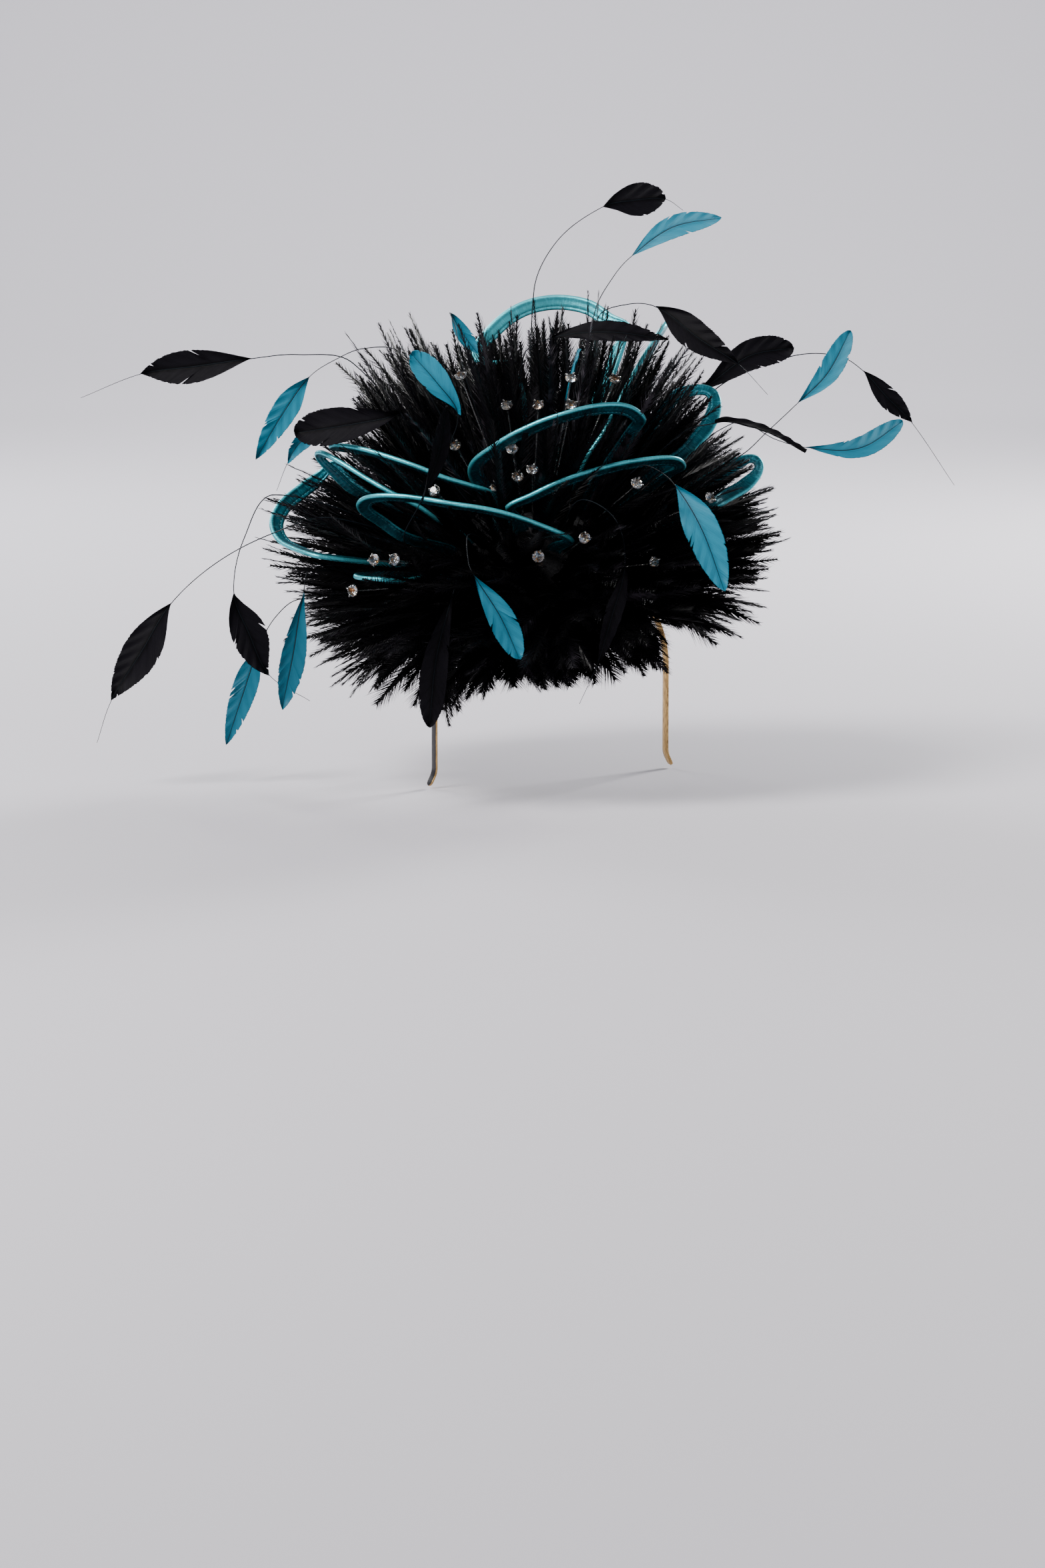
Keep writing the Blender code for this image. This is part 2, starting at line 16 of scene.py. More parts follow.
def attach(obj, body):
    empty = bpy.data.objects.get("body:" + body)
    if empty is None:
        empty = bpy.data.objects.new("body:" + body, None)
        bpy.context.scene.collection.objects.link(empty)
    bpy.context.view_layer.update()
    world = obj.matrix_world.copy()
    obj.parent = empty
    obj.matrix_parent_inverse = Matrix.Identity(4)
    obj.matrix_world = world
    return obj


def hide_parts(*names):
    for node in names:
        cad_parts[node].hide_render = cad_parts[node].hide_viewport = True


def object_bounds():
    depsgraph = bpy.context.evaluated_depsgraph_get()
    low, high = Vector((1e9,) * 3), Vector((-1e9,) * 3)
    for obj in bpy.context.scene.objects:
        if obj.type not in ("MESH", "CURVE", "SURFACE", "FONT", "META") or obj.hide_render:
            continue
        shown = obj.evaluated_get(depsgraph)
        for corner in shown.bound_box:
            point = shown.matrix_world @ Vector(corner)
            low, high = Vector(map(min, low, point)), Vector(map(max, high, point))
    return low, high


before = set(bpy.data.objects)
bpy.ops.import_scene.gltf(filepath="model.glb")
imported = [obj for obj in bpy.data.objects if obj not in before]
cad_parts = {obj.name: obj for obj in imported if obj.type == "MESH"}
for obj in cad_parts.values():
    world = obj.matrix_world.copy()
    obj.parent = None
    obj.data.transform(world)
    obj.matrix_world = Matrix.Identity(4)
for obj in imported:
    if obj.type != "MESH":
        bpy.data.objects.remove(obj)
cad_box = [list(corner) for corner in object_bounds()]

# The view: the camera stands before the right front of the piece, a little above its crown.
# A soft light hangs at the upper left, two behind draw the rims of satin and feathers, and
# one washes the wall that the plain pale floor sweeps up into.
MM = 0.001
VIEW_TURN = radians(-30.0)
VIEW_RISE = radians(8.7)
CAMERA_DISTANCE = 2600.0
AXIS_ACROSS = -16.3
AXIS_UP = -123.6
SIZE_OF_PIXEL = 0.37
IMAGE_HEIGHT = 2352
FLOOR_RADIUS = 3.4
SWEEP_RADIUS = 2.4
SWEEP_CUTS = 13
WALL_HEIGHT = 2.9
FLOOR_SIDES = 96
FLOOR_GAP = 1.5
FLOOR_COLOUR = (0.50, 0.485, 0.53, 1)
FLOOR_ROUGHNESS = 0.75
STUDIO_GREY = (0.80, 0.80, 0.84, 1)
STUDIO_STRENGTH = 0.30
CLIP_NEAR, CLIP_FAR = 0.05, 60

to_right = Vector((cos(VIEW_TURN), sin(VIEW_TURN), 0))
to_viewer = Vector((sin(VIEW_TURN) * cos(VIEW_RISE), -cos(VIEW_TURN) * cos(VIEW_RISE), sin(VIEW_RISE)))
to_top = to_viewer.cross(to_right)


def placed(across, up, toward):
    """A point given in millimetres across, up and toward the viewer, in the frame's metres."""
    return (across * to_right + up * to_top + toward * to_viewer) * MM


def linked(name, data):
    """A new object in the scene."""
    made = bpy.data.objects.new(name, data)
    bpy.context.scene.collection.objects.link(made)
    return made


def angles_round(count, turn=0.0):
    """Angles spread evenly round a circle, the first one turned by a share of their step."""
    return [2 * pi * (k + turn) / count for k in range(count)]


camera = linked("camera", bpy.data.cameras.new("camera"))
camera.matrix_world = Matrix.Translation(placed(AXIS_ACROSS, AXIS_UP, CAMERA_DISTANCE)) @ Matrix(
    (to_right, to_top, to_viewer)).transposed().to_4x4()
camera.data.lens = camera.data.sensor_width * CAMERA_DISTANCE / (SIZE_OF_PIXEL * IMAGE_HEIGHT)
camera.data.clip_start, camera.data.clip_end = CLIP_NEAR, CLIP_FAR
bpy.context.scene.camera = camera

# place across, up and toward in millimetres, the spot it is aimed at, side in metres, watts, colour
SOFT_LIGHTS = (
    ("light_key", (-1200, 1500, 1300), (0, 0, 0), 0.8, 88, (1.0, 0.98, 0.96)),
    ("light_fill", (1700, 500, 1900), (0, 0, 0), 1.6, 8, (0.95, 0.97, 1.0)),
    ("light_rim", (1300, 1000, -1300), (0, 0, 0), 0.6, 76, (1.0, 0.99, 0.97)),
    ("light_back", (-1200, 1200, -1500), (0, 0, 0), 0.8, 40, (0.97, 0.98, 1.0)),
    ("light_wall", (0, 2300, -2900), (0, 0, -4600), 2.4, 110, (1.0, 1.0, 1.0)),
)
for name, place, aim, side, watts, colour in SOFT_LIGHTS:
    lamp = linked(name, bpy.data.lights.new(name, "AREA"))
    lamp.data.size, lamp.data.energy, lamp.data.color = side, watts, colour
    lamp.location = placed(*place)
    lamp.rotation_euler = (placed(*aim) - lamp.location).to_track_quat("-Z", "Y").to_euler()
    lamp.visible_camera = False

world = bpy.data.worlds.new("studio")
world.use_nodes = True
studio = world.node_tree.nodes["Background"].inputs
studio["Color"].default_value, studio["Strength"].default_value = STUDIO_GREY, STUDIO_STRENGTH
bpy.context.scene.world = world

# a round floor that sweeps up into a wall, so that no edge shows behind the piece
floor_mesh = bpy.data.meshes.new("floor")
floor_height = cad_box[0][2] - FLOOR_GAP * MM
sweep = [(FLOOR_RADIUS + SWEEP_RADIUS * sin(a), SWEEP_RADIUS * (1 - cos(a)))
         for a in np.linspace(0, pi / 2, SWEEP_CUTS)]
sweep.append((FLOOR_RADIUS + SWEEP_RADIUS, WALL_HEIGHT))
floor_work = bmesh.new()
floor_rings = [[floor_work.verts.new((r * cos(a), r * sin(a), floor_height + z))
                for a in angles_round(FLOOR_SIDES)] for r, z in sweep]
floor_work.faces.new(floor_rings[0])
for low, high in zip(floor_rings, floor_rings[1:]):
    for k in range(FLOOR_SIDES):
        floor_work.faces.new((low[k], low[k - 1], high[k - 1], high[k]))
floor_work.to_mesh(floor_mesh)
floor_work.free()
floor_mesh.shade_smooth()
floor_finish = bpy.data.materials.new("pale_floor")
floor_finish.use_nodes = True
floor_shader = floor_finish.node_tree.nodes["Principled BSDF"].inputs
floor_shader["Base Color"].default_value = FLOOR_COLOUR
floor_shader["Roughness"].default_value = FLOOR_ROUGHNESS
floor_mesh.materials.append(floor_finish)
linked("floor", floor_mesh)

# Alice band: a spring steel strip bent over the crown, its arms ending in rounded tips
# that flare outwards. The outer face is lacquered black, and the rolled edges and the
# inner face are bare golden metal.
BAND_WIDTH = 5.4
BAND_THICK = 1.3
CROWN_RADIUS = 84.0
CROWN_HALF_ANGLE = 40.0
ARM_HALF_SPAN = 74.0
ARM_STRAIGHT_END = -110.0
TIP_LENGTH = 11.2
TIP_FLARE = 28.0
TIP_STEPS = 28
FLARE_SHARE = 0.55
ARC_STEP = 2
ARM_CUTS = 9
FAR_FROM_TIP = 1e3
LACQUER = (0.008, 0.008, 0.010, 1)
LACQUER_WORN = (0.022, 0.022, 0.026, 1)
GOLD = (0.62, 0.40, 0.16, 1)
GOLD_DULL = (0.33, 0.20, 0.08, 1)
# round the strip: across and height as shares of width and thickness, and how bare it is
BAND_SECTION = (
    (-0.82, 0.0, 1), (-1.0, 0.25, 1), (-1.0, 0.7, 1), (-0.9, 0.93, 0.6), (-0.7, 0.99, 0), (0, 1, 0),
    (0.7, 0.99, 0), (0.9, 0.93, 0.6), (1.0, 0.7, 1), (1.0, 0.25, 1), (0.82, 0, 1), (0, 0, 1))


def sums(operation, swapped=False):
    """An operator that adds the Math node for it."""
    def made(wire, other):
        return wire.maths(operation, *((other, wire) if swapped else (wire, other)))
    return made


class Wire:
    """A socket of a node tree. Sums on wires and numbers add the nodes that work them out."""

    __add__ = __radd__ = sums("ADD")
    __sub__, __rsub__ = sums("SUBTRACT"), sums("SUBTRACT", True)
    __mul__ = __rmul__ = sums("MULTIPLY")
    __truediv__, __rtruediv__ = sums("DIVIDE"), sums("DIVIDE", True)
    __pow__ = sums("POWER")

    def __init__(self, tree, socket=None):
        self.tree = tree
        self.socket = socket

    def node(self, kind, settings=None, sockets=None, out=0):
        """A new node with its settings made first, then values or wires on its sockets."""
        made = self.tree.nodes.new(kind)
        for key, value in (settings or {}).items():
            if key == "stops":
                ramp = made.color_ramp.elements
                while len(ramp) < len(value):
                    ramp.new(0.5)
                for stop, (position, colour) in zip(ramp, value):
                    stop.position, stop.color = position, colour
            else:
                setattr(made, key, value)
        for key, value in (sockets or {}).items():
            if isinstance(value, Wire):
                self.tree.links.new(value.socket, made.inputs[key])
            else:
                made.inputs[key].default_value = value
        return Wire(self.tree, made.outputs[out])

    def maths(self, operation, *terms):
        """A Math node, or a Vector Math node where a term is a vector."""
        vector = any(isinstance(t, Vector) or isinstance(t, Wire) and t.socket.type == "VECTOR"
                     for t in terms)
        plain = {i: (t, t, t) if vector and isinstance(t, (int, float)) else t
                 for i, t in enumerate(terms)}
        kind = "ShaderNodeVectorMath" if vector else "ShaderNodeMath"
        return self.node(kind, {"operation": operation}, plain)

    def least(self, other):
        return self.maths("MINIMUM", self, other)

    def most(self, other):
        return self.maths("MAXIMUM", self, other)

    def wave(self):
        return self.maths("SINE", self)

    def split(self):
        """The first two parts of a vector."""
        parts = self.node("ShaderNodeSeparateXYZ", None, {"Vector": self})
        return parts, Wire(self.tree, parts.socket.node.outputs[1])

    def step(self, low, high):
        """Goes smoothly from 0 to 1 as the wire goes from low to high."""
        return self.node("ShaderNodeMapRange", {"interpolation_type": "SMOOTHSTEP"},
                         {"Value": self, "From Min": low, "From Max": high})

    def blend(self, first, second):
        """The first colour where the wire is 0 and the second where it is 1."""
        return self.node("ShaderNodeMix", {"data_type": "RGBA"}, {0: self, 6: first, 7: second}, 2)

    def noise(self, scale, detail=2.0, rough=0.5, stretch=(1, 1, 1)):
        """Noise over the coordinate that this wire carries, stretched along its axes."""
        return self.node("ShaderNodeTexNoise", None, {
            "Vector": self.maths("MULTIPLY", self, Vector(stretch)), "Scale": scale, "Detail": detail,
            "Roughness": rough}, "Fac")


class Finish:
    """A material with fixed values on its shader, and wires led to what changes over it."""

    def __init__(self, name, **fixed):
        self.material = bpy.data.materials.new(name)
        self.material.use_nodes = True
        self.shader = self.material.node_tree.nodes["Principled BSDF"]
        for key, value in fixed.items():
            self.shader.inputs[key.replace("_", " ")].default_value = value
        self.start = Wire(self.material.node_tree)
        self.place = self.start.node("ShaderNodeTexCoord", out="Object")

    def read(self, attribute, out="Fac"):
        return self.start.node("ShaderNodeAttribute", {"attribute_name": attribute}, out=out)

    def uv(self):
        """The map's two coordinates, along and across the piece, and both as one vector."""
        run, out = self.start.node("ShaderNodeTexCoord", out="UV").split()
        return run, out, run.node("ShaderNodeCombineXYZ", None, {"X": run, "Y": out})

    def lead(self, **wires):
        for key, wire in wires.items():
            wire.tree.links.new(wire.socket, self.shader.inputs[key.replace("_", " ")])

    def relief(self, height, distance):
        """Raises the surface by the wire, whose 1 stands for the distance in metres."""
        self.lead(Normal=self.start.node("ShaderNodeBump", None, {
            "Height": height, "Distance": distance, "Strength": 1.0}))


def skin(rings):
    """Points and faces that join equal rings in order, each end closed to its middle."""
    count = len(rings[0])
    points = [p for ring in rings for p in ring]
    faces = []
    for i in range(len(rings) - 1):
        for j in range(count):
            k = (j + 1) % count
            faces.append((i * count + j, i * count + k, (i + 1) * count + k, (i + 1) * count + j))
    for ring, start in ((rings[0], 0), (rings[-1], len(points) - count)):
        points = points + [sum(ring, Vector()) / count]
        faces += [(start + j, start + (j + 1) % count, len(points) - 1) for j in range(count)]
    return points, faces


def mesh_piece(name, points, faces, finish=None):
    """An object from points in metres, its faces turned outwards."""
    mesh = bpy.data.meshes.new(name)
    mesh.from_pydata([tuple(p) for p in points], [], faces)
    work = bmesh.new()
    work.from_mesh(mesh)
    bmesh.ops.recalc_face_normals(work, faces=work.faces)
    work.to_mesh(mesh)
    work.free()
    mesh.shade_smooth()
    if finish:
        mesh.materials.append(finish.material)
    return linked(name, mesh)


def mark(piece, name, values, kind="FLOAT"):
    """Stores a value for each point of a piece, for its finish or its growth to read."""
    field = "vector" if kind == "FLOAT_VECTOR" else "value"
    layer = piece.data.attributes.new(name, kind, "POINT")
    layer.data.foreach_set(field, np.array(values, dtype=np.float32).ravel())


def map_piece(piece, coordinates):
    """Gives each point of a piece its place on a flat map: along and across."""
    layer = piece.data.uv_layers.new(name="UVMap")
    corner_points = np.zeros(len(piece.data.loops), dtype=np.int32)
    piece.data.loops.foreach_get("vertex_index", corner_points)
    layer.data.foreach_set("uv", np.array(coordinates, dtype=np.float32)[corner_points].ravel())


def belongs(piece, slot, *nodes):
    """Fixes a piece to the object, in the place of the CAD nodes that it stands for."""
    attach(piece, "root")
    if nodes:
        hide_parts(*nodes)


def band_half():
    """The inner line from the crown to the tip as X, Z and lean, with the length to the tip."""
    side_radius = (ARM_HALF_SPAN - CROWN_RADIUS * sin(radians(CROWN_HALF_ANGLE))) / (
        1 - sin(radians(CROWN_HALF_ANGLE)))
    side_x = ARM_HALF_SPAN - side_radius
    side_z = (CROWN_RADIUS - side_radius) * cos(radians(CROWN_HALF_ANGLE)) - CROWN_RADIUS
    half = [(CROWN_RADIUS * sin(radians(a)), CROWN_RADIUS * (cos(radians(a)) - 1), a, FAR_FROM_TIP)
            for a in range(0, int(CROWN_HALF_ANGLE), ARC_STEP)]
    half += [(side_x + side_radius * sin(radians(a)), side_z + side_radius * cos(radians(a)), a,
              FAR_FROM_TIP) for a in range(int(CROWN_HALF_ANGLE), 91, ARC_STEP)]
    half += [(ARM_HALF_SPAN, z, 90, FAR_FROM_TIP)
             for z in np.linspace(half[-1][1], ARM_STRAIGHT_END, ARM_CUTS)[1:]]
    x, z = ARM_HALF_SPAN, ARM_STRAIGHT_END
    for i in range(1, TIP_STEPS + 1):
        flared = min(1, i / (FLARE_SHARE * TIP_STEPS))
        x += sin(radians(TIP_FLARE) * flared) * TIP_LENGTH / TIP_STEPS
        z -= cos(radians(TIP_FLARE) * flared) * TIP_LENGTH / TIP_STEPS
        half.append((x, z, 90 - TIP_FLARE * flared, TIP_LENGTH * (1 - i / TIP_STEPS)))
    return half


half = band_half()
line = [(-x, z, -a, left) for x, z, a, left in reversed(half[1:])] + half
rings, bare = [], []
for x, z, angle, left in line:
    out = Vector((sin(radians(angle)), 0, cos(radians(angle))))
    round_end = sqrt(max(0.02, 1 - max(0, 1 - left / (BAND_WIDTH / 2)) ** 2))
    inner = Vector((x, 0, z))
    middle = 0.5 * BAND_THICK * (1 - round_end ** 0.5)
    rings.append([(inner + Vector((0, w * BAND_WIDTH / 2 * round_end, 0))
                   + (middle + h * BAND_THICK * round_end ** 0.5) * out) * MM
                  for w, h, _ in BAND_SECTION])
    bare += [b for _, _, b in BAND_SECTION]
band_finish = Finish("lacquered_and_golden_band", Coat_Roughness=0.2, Specular_IOR_Level=0.25)
chips = band_finish.place.noise(900, 3, 0.6)
scuffs = band_finish.place.noise(260, 4, 0.7, (1, 6, 1))
gold_shows = (band_finish.read("bare") + (chips - 0.5) * 0.55).step(0.42, 0.58)
worn = scuffs.step(0.42, 0.66)
band_finish.lead(
    Base_Color=gold_shows.blend(worn.blend(LACQUER, LACQUER_WORN), worn.blend(GOLD, GOLD_DULL)),
    Metallic=gold_shows, Roughness=0.34 + worn * 0.20 - gold_shows * 0.06,
    Coat_Weight=(1 - gold_shows) * 0.2)
band_finish.relief(scuffs * 0.4 + gold_shows * -0.6 + chips * 0.15, 0.05 * MM)
band = mesh_piece("alice_band", *skin(rings), band_finish)
mark(band, "bare", bare + [1, 1])
belongs(band, "band", "headband")

# Base: a small round dome blocked from black woven straw cloth, its raw edge rolled
# over and sewn down. It sits on the band, and everything else is sewn to it.
CROWN_CENTRE = Vector((0, 0, -CROWN_RADIUS)) * MM
LEAN_AXIS = Vector((-0.262, -0.176, 1.0)).normalized()
ROSETTE_RISE = 78.0
ROSETTE_MIDDLE = CROWN_CENTRE + ROSETTE_RISE * MM * LEAN_AXIS
BASE_INNER = 86.5
BASE_OUTER = 88.5
RIM_ANGLE = 36.0
ROLL_HALF = 1.05
ROLL_CUTS = 9
DOME_CUTS = 24
WEAVE_PITCH = 0.9
STRAW_DARK = (0.004, 0.004, 0.005, 1)
STRAW_PALE = (0.020, 0.020, 0.022, 1)
SEGMENTS_AROUND = 96
base_side = LEAN_AXIS.orthogonal().normalized()
base_front = LEAN_AXIS.cross(base_side)


def turned(radius, height, turn):
    """A point of a form turned round the leaning axis, from millimetres."""
    spoke = cos(turn) * base_side + sin(turn) * base_front
    return CROWN_CENTRE + (height * LEAN_AXIS + radius * spoke) * MM


def turned_form(profile):
    """Points and faces of a form turned round the axis from a profile."""
    return skin([[turned(r, h, a) for a in angles_round(SEGMENTS_AROUND)] for r, h in profile])


def ball_point(radius, angle):
    return radius * sin(radians(angle)), radius * cos(radians(angle))


base_profile = [ball_point(BASE_INNER, a) for a in np.linspace(1, RIM_ANGLE - 1.2, DOME_CUTS)]
rim_middle = ball_point((BASE_INNER + BASE_OUTER) / 2, RIM_ANGLE - 0.7)
for k in range(ROLL_CUTS):
    turn = radians(RIM_ANGLE) + pi + pi * (k + 0.5) / ROLL_CUTS
    base_profile.append((rim_middle[0] - ROLL_HALF * sin(turn), rim_middle[1] - ROLL_HALF * cos(turn)))
base_profile += [ball_point(BASE_OUTER - 0.4, a) for a in np.linspace(RIM_ANGLE - 1.6, 1, DOME_CUTS)]
base_finish = Finish("woven_base", Sheen_Weight=0.25, Sheen_Roughness=0.5, Specular_IOR_Level=0.3)
across_cloth, along_cloth = base_finish.place.split()
threads = 2 * pi / (WEAVE_PITCH * MM)
over = (across_cloth * threads).wave() * (along_cloth * threads).wave()
slub = base_finish.place.noise(700, 3, 0.6)
base_finish.lead(
    Base_Color=over.step(-0.7, 0.8).blend(STRAW_DARK, STRAW_PALE),
    Roughness=0.85 - slub * 0.2)
base_finish.relief(over * 0.5 + slub * 0.5, 0.18 * MM)
base = mesh_piece("woven_base", *turned_form(base_profile), base_finish)
belongs(base, "base", "feather_base")

# Ground of the rosette: the close down at the hackles' feet, which hides the base and
# the sewing. It is a soft black mass with no light of its own.
CROWN_PROFILE = ((14.0, 127.0), (30.0, 121.0), (44.0, 111.0), (53.5, 99.5), (58.5, 88.7))
SKIRT_PROFILE = ((64.0, 77.5), (68.0, 66.5), (70.5, 56.0))
CROWN_TOP = 128
GROUND_SHARE = 0.90
DOWN_DARK = (0.002, 0.002, 0.003, 1)
DOWN_PALE = (0.012, 0.012, 0.014, 1)
ground_profile = [(0.5, CROWN_TOP * GROUND_SHARE)] + [
    (r * GROUND_SHARE, BASE_OUTER + 1 + (h - BASE_OUTER) * GROUND_SHARE if h > BASE_OUTER else h + 4)
    for r, h in CROWN_PROFILE + SKIRT_PROFILE]
ground_profile += [ball_point(BASE_OUTER + 0.4, a) for a in np.linspace(43, 1, 12)]
down_finish = Finish("black_down", Roughness=0.9, Sheen_Weight=0.15, Specular_IOR_Level=0.15)
clumps = down_finish.place.noise(420, 5, 0.7)
down_finish.lead(Base_Color=clumps.step(0.35, 0.75).blend(DOWN_DARK, DOWN_PALE))
down_finish.relief(clumps, 1.2 * MM)
ground = mesh_piece("hackle_ground", *turned_form(ground_profile), down_finish)
belongs(ground, "hackle")
rosette_tree = BVHTree.FromPolygons(*turned_form(CROWN_PROFILE + SKIRT_PROFILE))

# Satin loops: teal satin sewn over a padded wire, a flat strip stood on edge with a
# round rim outside and a row of stitches near its inner edge. Each strip is bent
# edgewise into a loop, and both its ends go down into the rosette.
STRIP_WIDTH = 8.5
RIM_HALF = 1.3
SEAM_SHARE = 0.78
STITCH_PITCH = 2.3
STITCH_LENGTH = 1.5
THREAD_HALF = 0.17
SEAM_LIFT = 0.56
PUCKER_PITCH = 4.6
PUCKER_DEPTH = 0.10
PUCKER_FROM = 0.3
THREAD_DARK = (0.01, 0.16, 0.21, 1)
THREAD_PALE = (0.10, 0.42, 0.50, 1)
SEAT_GAP = 0.3
LIFT_OFF = 6.0
STRIP_STEP = 1.4
BEND_REACH = 4
BEND_SHARE = 0.75
TIGHT_BEND = 30
WIDTH_REACH = 6
WIDTH_EVENED = 9
CENTRE_PULL = 0.3
SATIN_DEEP = (0.002, 0.065, 0.095, 1)
SATIN_TEAL = (0.004, 0.155, 0.215, 1)
# the pale teal of the painted highlight on the satin
SATIN_PAINTED_HIGHLIGHT = (0.110, 0.700, 0.800, 1)
# loops painted lighter, a painted highlight where they would catch the light from behind, and by how
# much
PAINTED_LIGHT_ON_LOOPS = {"back": 0.5, "tall": 0.15}
# across the strip from its rim, as shares of the width, and half thickness in millimetres
STRIP_SECTION = ((0.0, 0.0), (0.03, 0.75), (0.09, 1.15), (0.16, RIM_HALF), (0.24, 1.18), (0.32, 0.92),
                 (0.42, 0.84), (0.56, 0.92), (0.68, 0.86), (0.75, 0.62), (SEAM_SHARE, 0.46),
                 (0.82, 0.64), (0.91, 0.74), (0.98, 0.48), (1.0, 0.0))
# the route of each loop where it shows, as across, up and toward in millimetres
Loop = namedtuple("Loop", "name plane route")
LOOPS = (
    Loop("back", (0, 0, 1), (
        (-23, 105, 30), (-40, 108, 22), (-45, 115, 16), (-41, 123, 12), (-28, 137, 6), (-14, 145, 2),
        (3, 148, 0), (21, 145, 2), (33, 137, 6), (43, 128, 14))),
    Loop("tall", (0.86, -0.51, 0), (
        (46, 98, 2), (58, 121, 5), (64, 131, 16), (62, 129, 28), (53, 115, 38), (40, 92, 48),
        (28, 68, 53), (20, 56, 54))),
    Loop("upper", (0, 1, -0.75), (
        (-46, 46, 70), (-30, 60, 86), (-12, 69, 94), (5, 75, 96), (25, 80, 92), (41, 80, 86),
        (50, 74, 78), (48, 69, 68))),
    Loop("middle", (0, 1, -0.6), (
        (-26, 24, 88), (-11, 32, 94), (7, 40, 97), (34, 48, 94), (56, 52, 86), (68, 52, 78),
        (72, 48, 70), (65, 44, 60))),
    Loop("right", (0.5, 0, 1), (
        (65, 91, 22), (79, 96, 22), (90, 93, 24), (93, 83, 28), (89, 71, 34), (81, 61, 40),
        (73, 53, 46))),
    Loop("far_right", (0, 0.3, 1), (
        (89, 50, 14), (102, 57, 12), (113, 58, 12), (117, 51, 14), (111, 40, 20), (99, 32, 28),
        (88, 26, 38))),
    Loop("left", (0, 1, -0.4), (
        (-96, 56, 48), (-110, 58, 50), (-121, 59, 57), (-118, 60, 68), (-106, 58, 76), (-90, 53, 84),
        (-73, 47, 88), (-58, 41, 88), (-44, 37, 84), (-32, 33, 76))),
    Loop("left_low", (0, 1, -0.4), (
        (-106, 32, 46), (-122, 46, 50), (-129, 55, 58), (-125, 56, 68), (-113, 49, 76), (-99, 40, 82),
        (-85, 32, 86), (-71, 25, 84), (-61, 18, 78))),
    Loop("front", (0, 1, -0.35), (
        (11, 7, 92), (-7, 15, 102), (-30, 22, 108), (-54, 26, 108), (-77, 30, 102), (-94, 31, 96),
        (-104, 29, 86), (-105, 24, 74), (-94, 16, 66), (-82, 8, 64))),
    Loop("far_left", (0.3, 0.2, 1), (
        (-119, 55, 10), (-130, 49, 11), (-142, 40, 18), (-151, 31, 27), (-155, 20, 36), (-151, 10, 45),
        (-141, 4, 54), (-125, -1, 64))),
    Loop("low", (0, 1, -0.3), (
        (-97, -9, 70), (-107, -11, 80), (-103, -13, 91), (-90, -14, 96), (-76, -14, 92),
        (-67, -11, 80))),
)


def smooth(points, step):
    """A rounded line through the points, cut at about the given step in millimetres."""
    ends = [2 * points[0] - points[1]] + list(points) + [2 * points[-1] - points[-2]]
    line = []
    for before, a, b, after in zip(ends, ends[1:], ends[2:], ends[3:]):
        span = (b - a).length
        cuts = max(1, round(span / (step * MM)))
        leave = (b - before).normalized() * span
        arrive = (after - a).normalized() * span
        for i in range(cuts):
            t = i / cuts
            line.append((2 * t**3 - 3 * t**2 + 1) * a + (t**3 - 2 * t**2 + t) * leave
                        + (3 * t**2 - 2 * t**3) * b + (t**3 - t**2) * arrive)
    return line + [points[-1]]


def carried_frames(line, middle, normal):
    """Directions, and normals carried without twist from the middle point to both ends."""
    heading = [(line[min(i + 1, len(line) - 1)] - line[max(i - 1, 0)]).normalized()
               for i in range(len(line))]
    normal = (normal - normal.dot(heading[middle]) * heading[middle]).normalized()
    normals = [normal] * len(line)
    for order in (range(middle + 1, len(line)), range(middle - 1, -1, -1)):
        last = middle
        for i in order:
            normals[i] = heading[last].rotation_difference(heading[i]) @ normals[last]
            last = i
    return heading, normals


def rooted(point):
    """The two points that lead a stem square out of the rosette's ground."""
    spot, normal, _, _ = rosette_tree.ray_cast(ROSETTE_MIDDLE, (point - ROSETTE_MIDDLE).normalized())
    if normal.dot(point - ROSETTE_MIDDLE) < 0:
        normal = -normal
    lift = min(LIFT_OFF * MM, 0.5 * (point - spot).length)
    return [spot + SEAT_GAP * MM * normal, spot + lift * normal]


def lengths_along(line):
    """The length from the line's start to each of its points, in millimetres."""
    steps = [0.0] + [(b - a).length / MM for a, b in zip(line, line[1:])]
    return np.cumsum(steps).tolist()


def bend_radii(line, lengths):
    """The radius of the line's bend at each point, in millimetres, evened over a few points."""
    found = []
    for i in range(len(line)):
        a, b = max(0, i - BEND_REACH), min(len(line) - 1, i + BEND_REACH)
        before, after = line[i] - line[a], line[b] - line[i]
        turn = before.angle(after) if before.length and after.length else 0
        found.append((lengths[b] - lengths[a]) / (2 * max(turn, 1e-3)))
    return found


def nearest(line, spot):
    """The number of the line's point that is nearest to a spot."""
    return min(range(len(line)), key=lambda i: (line[i] - spot).length)


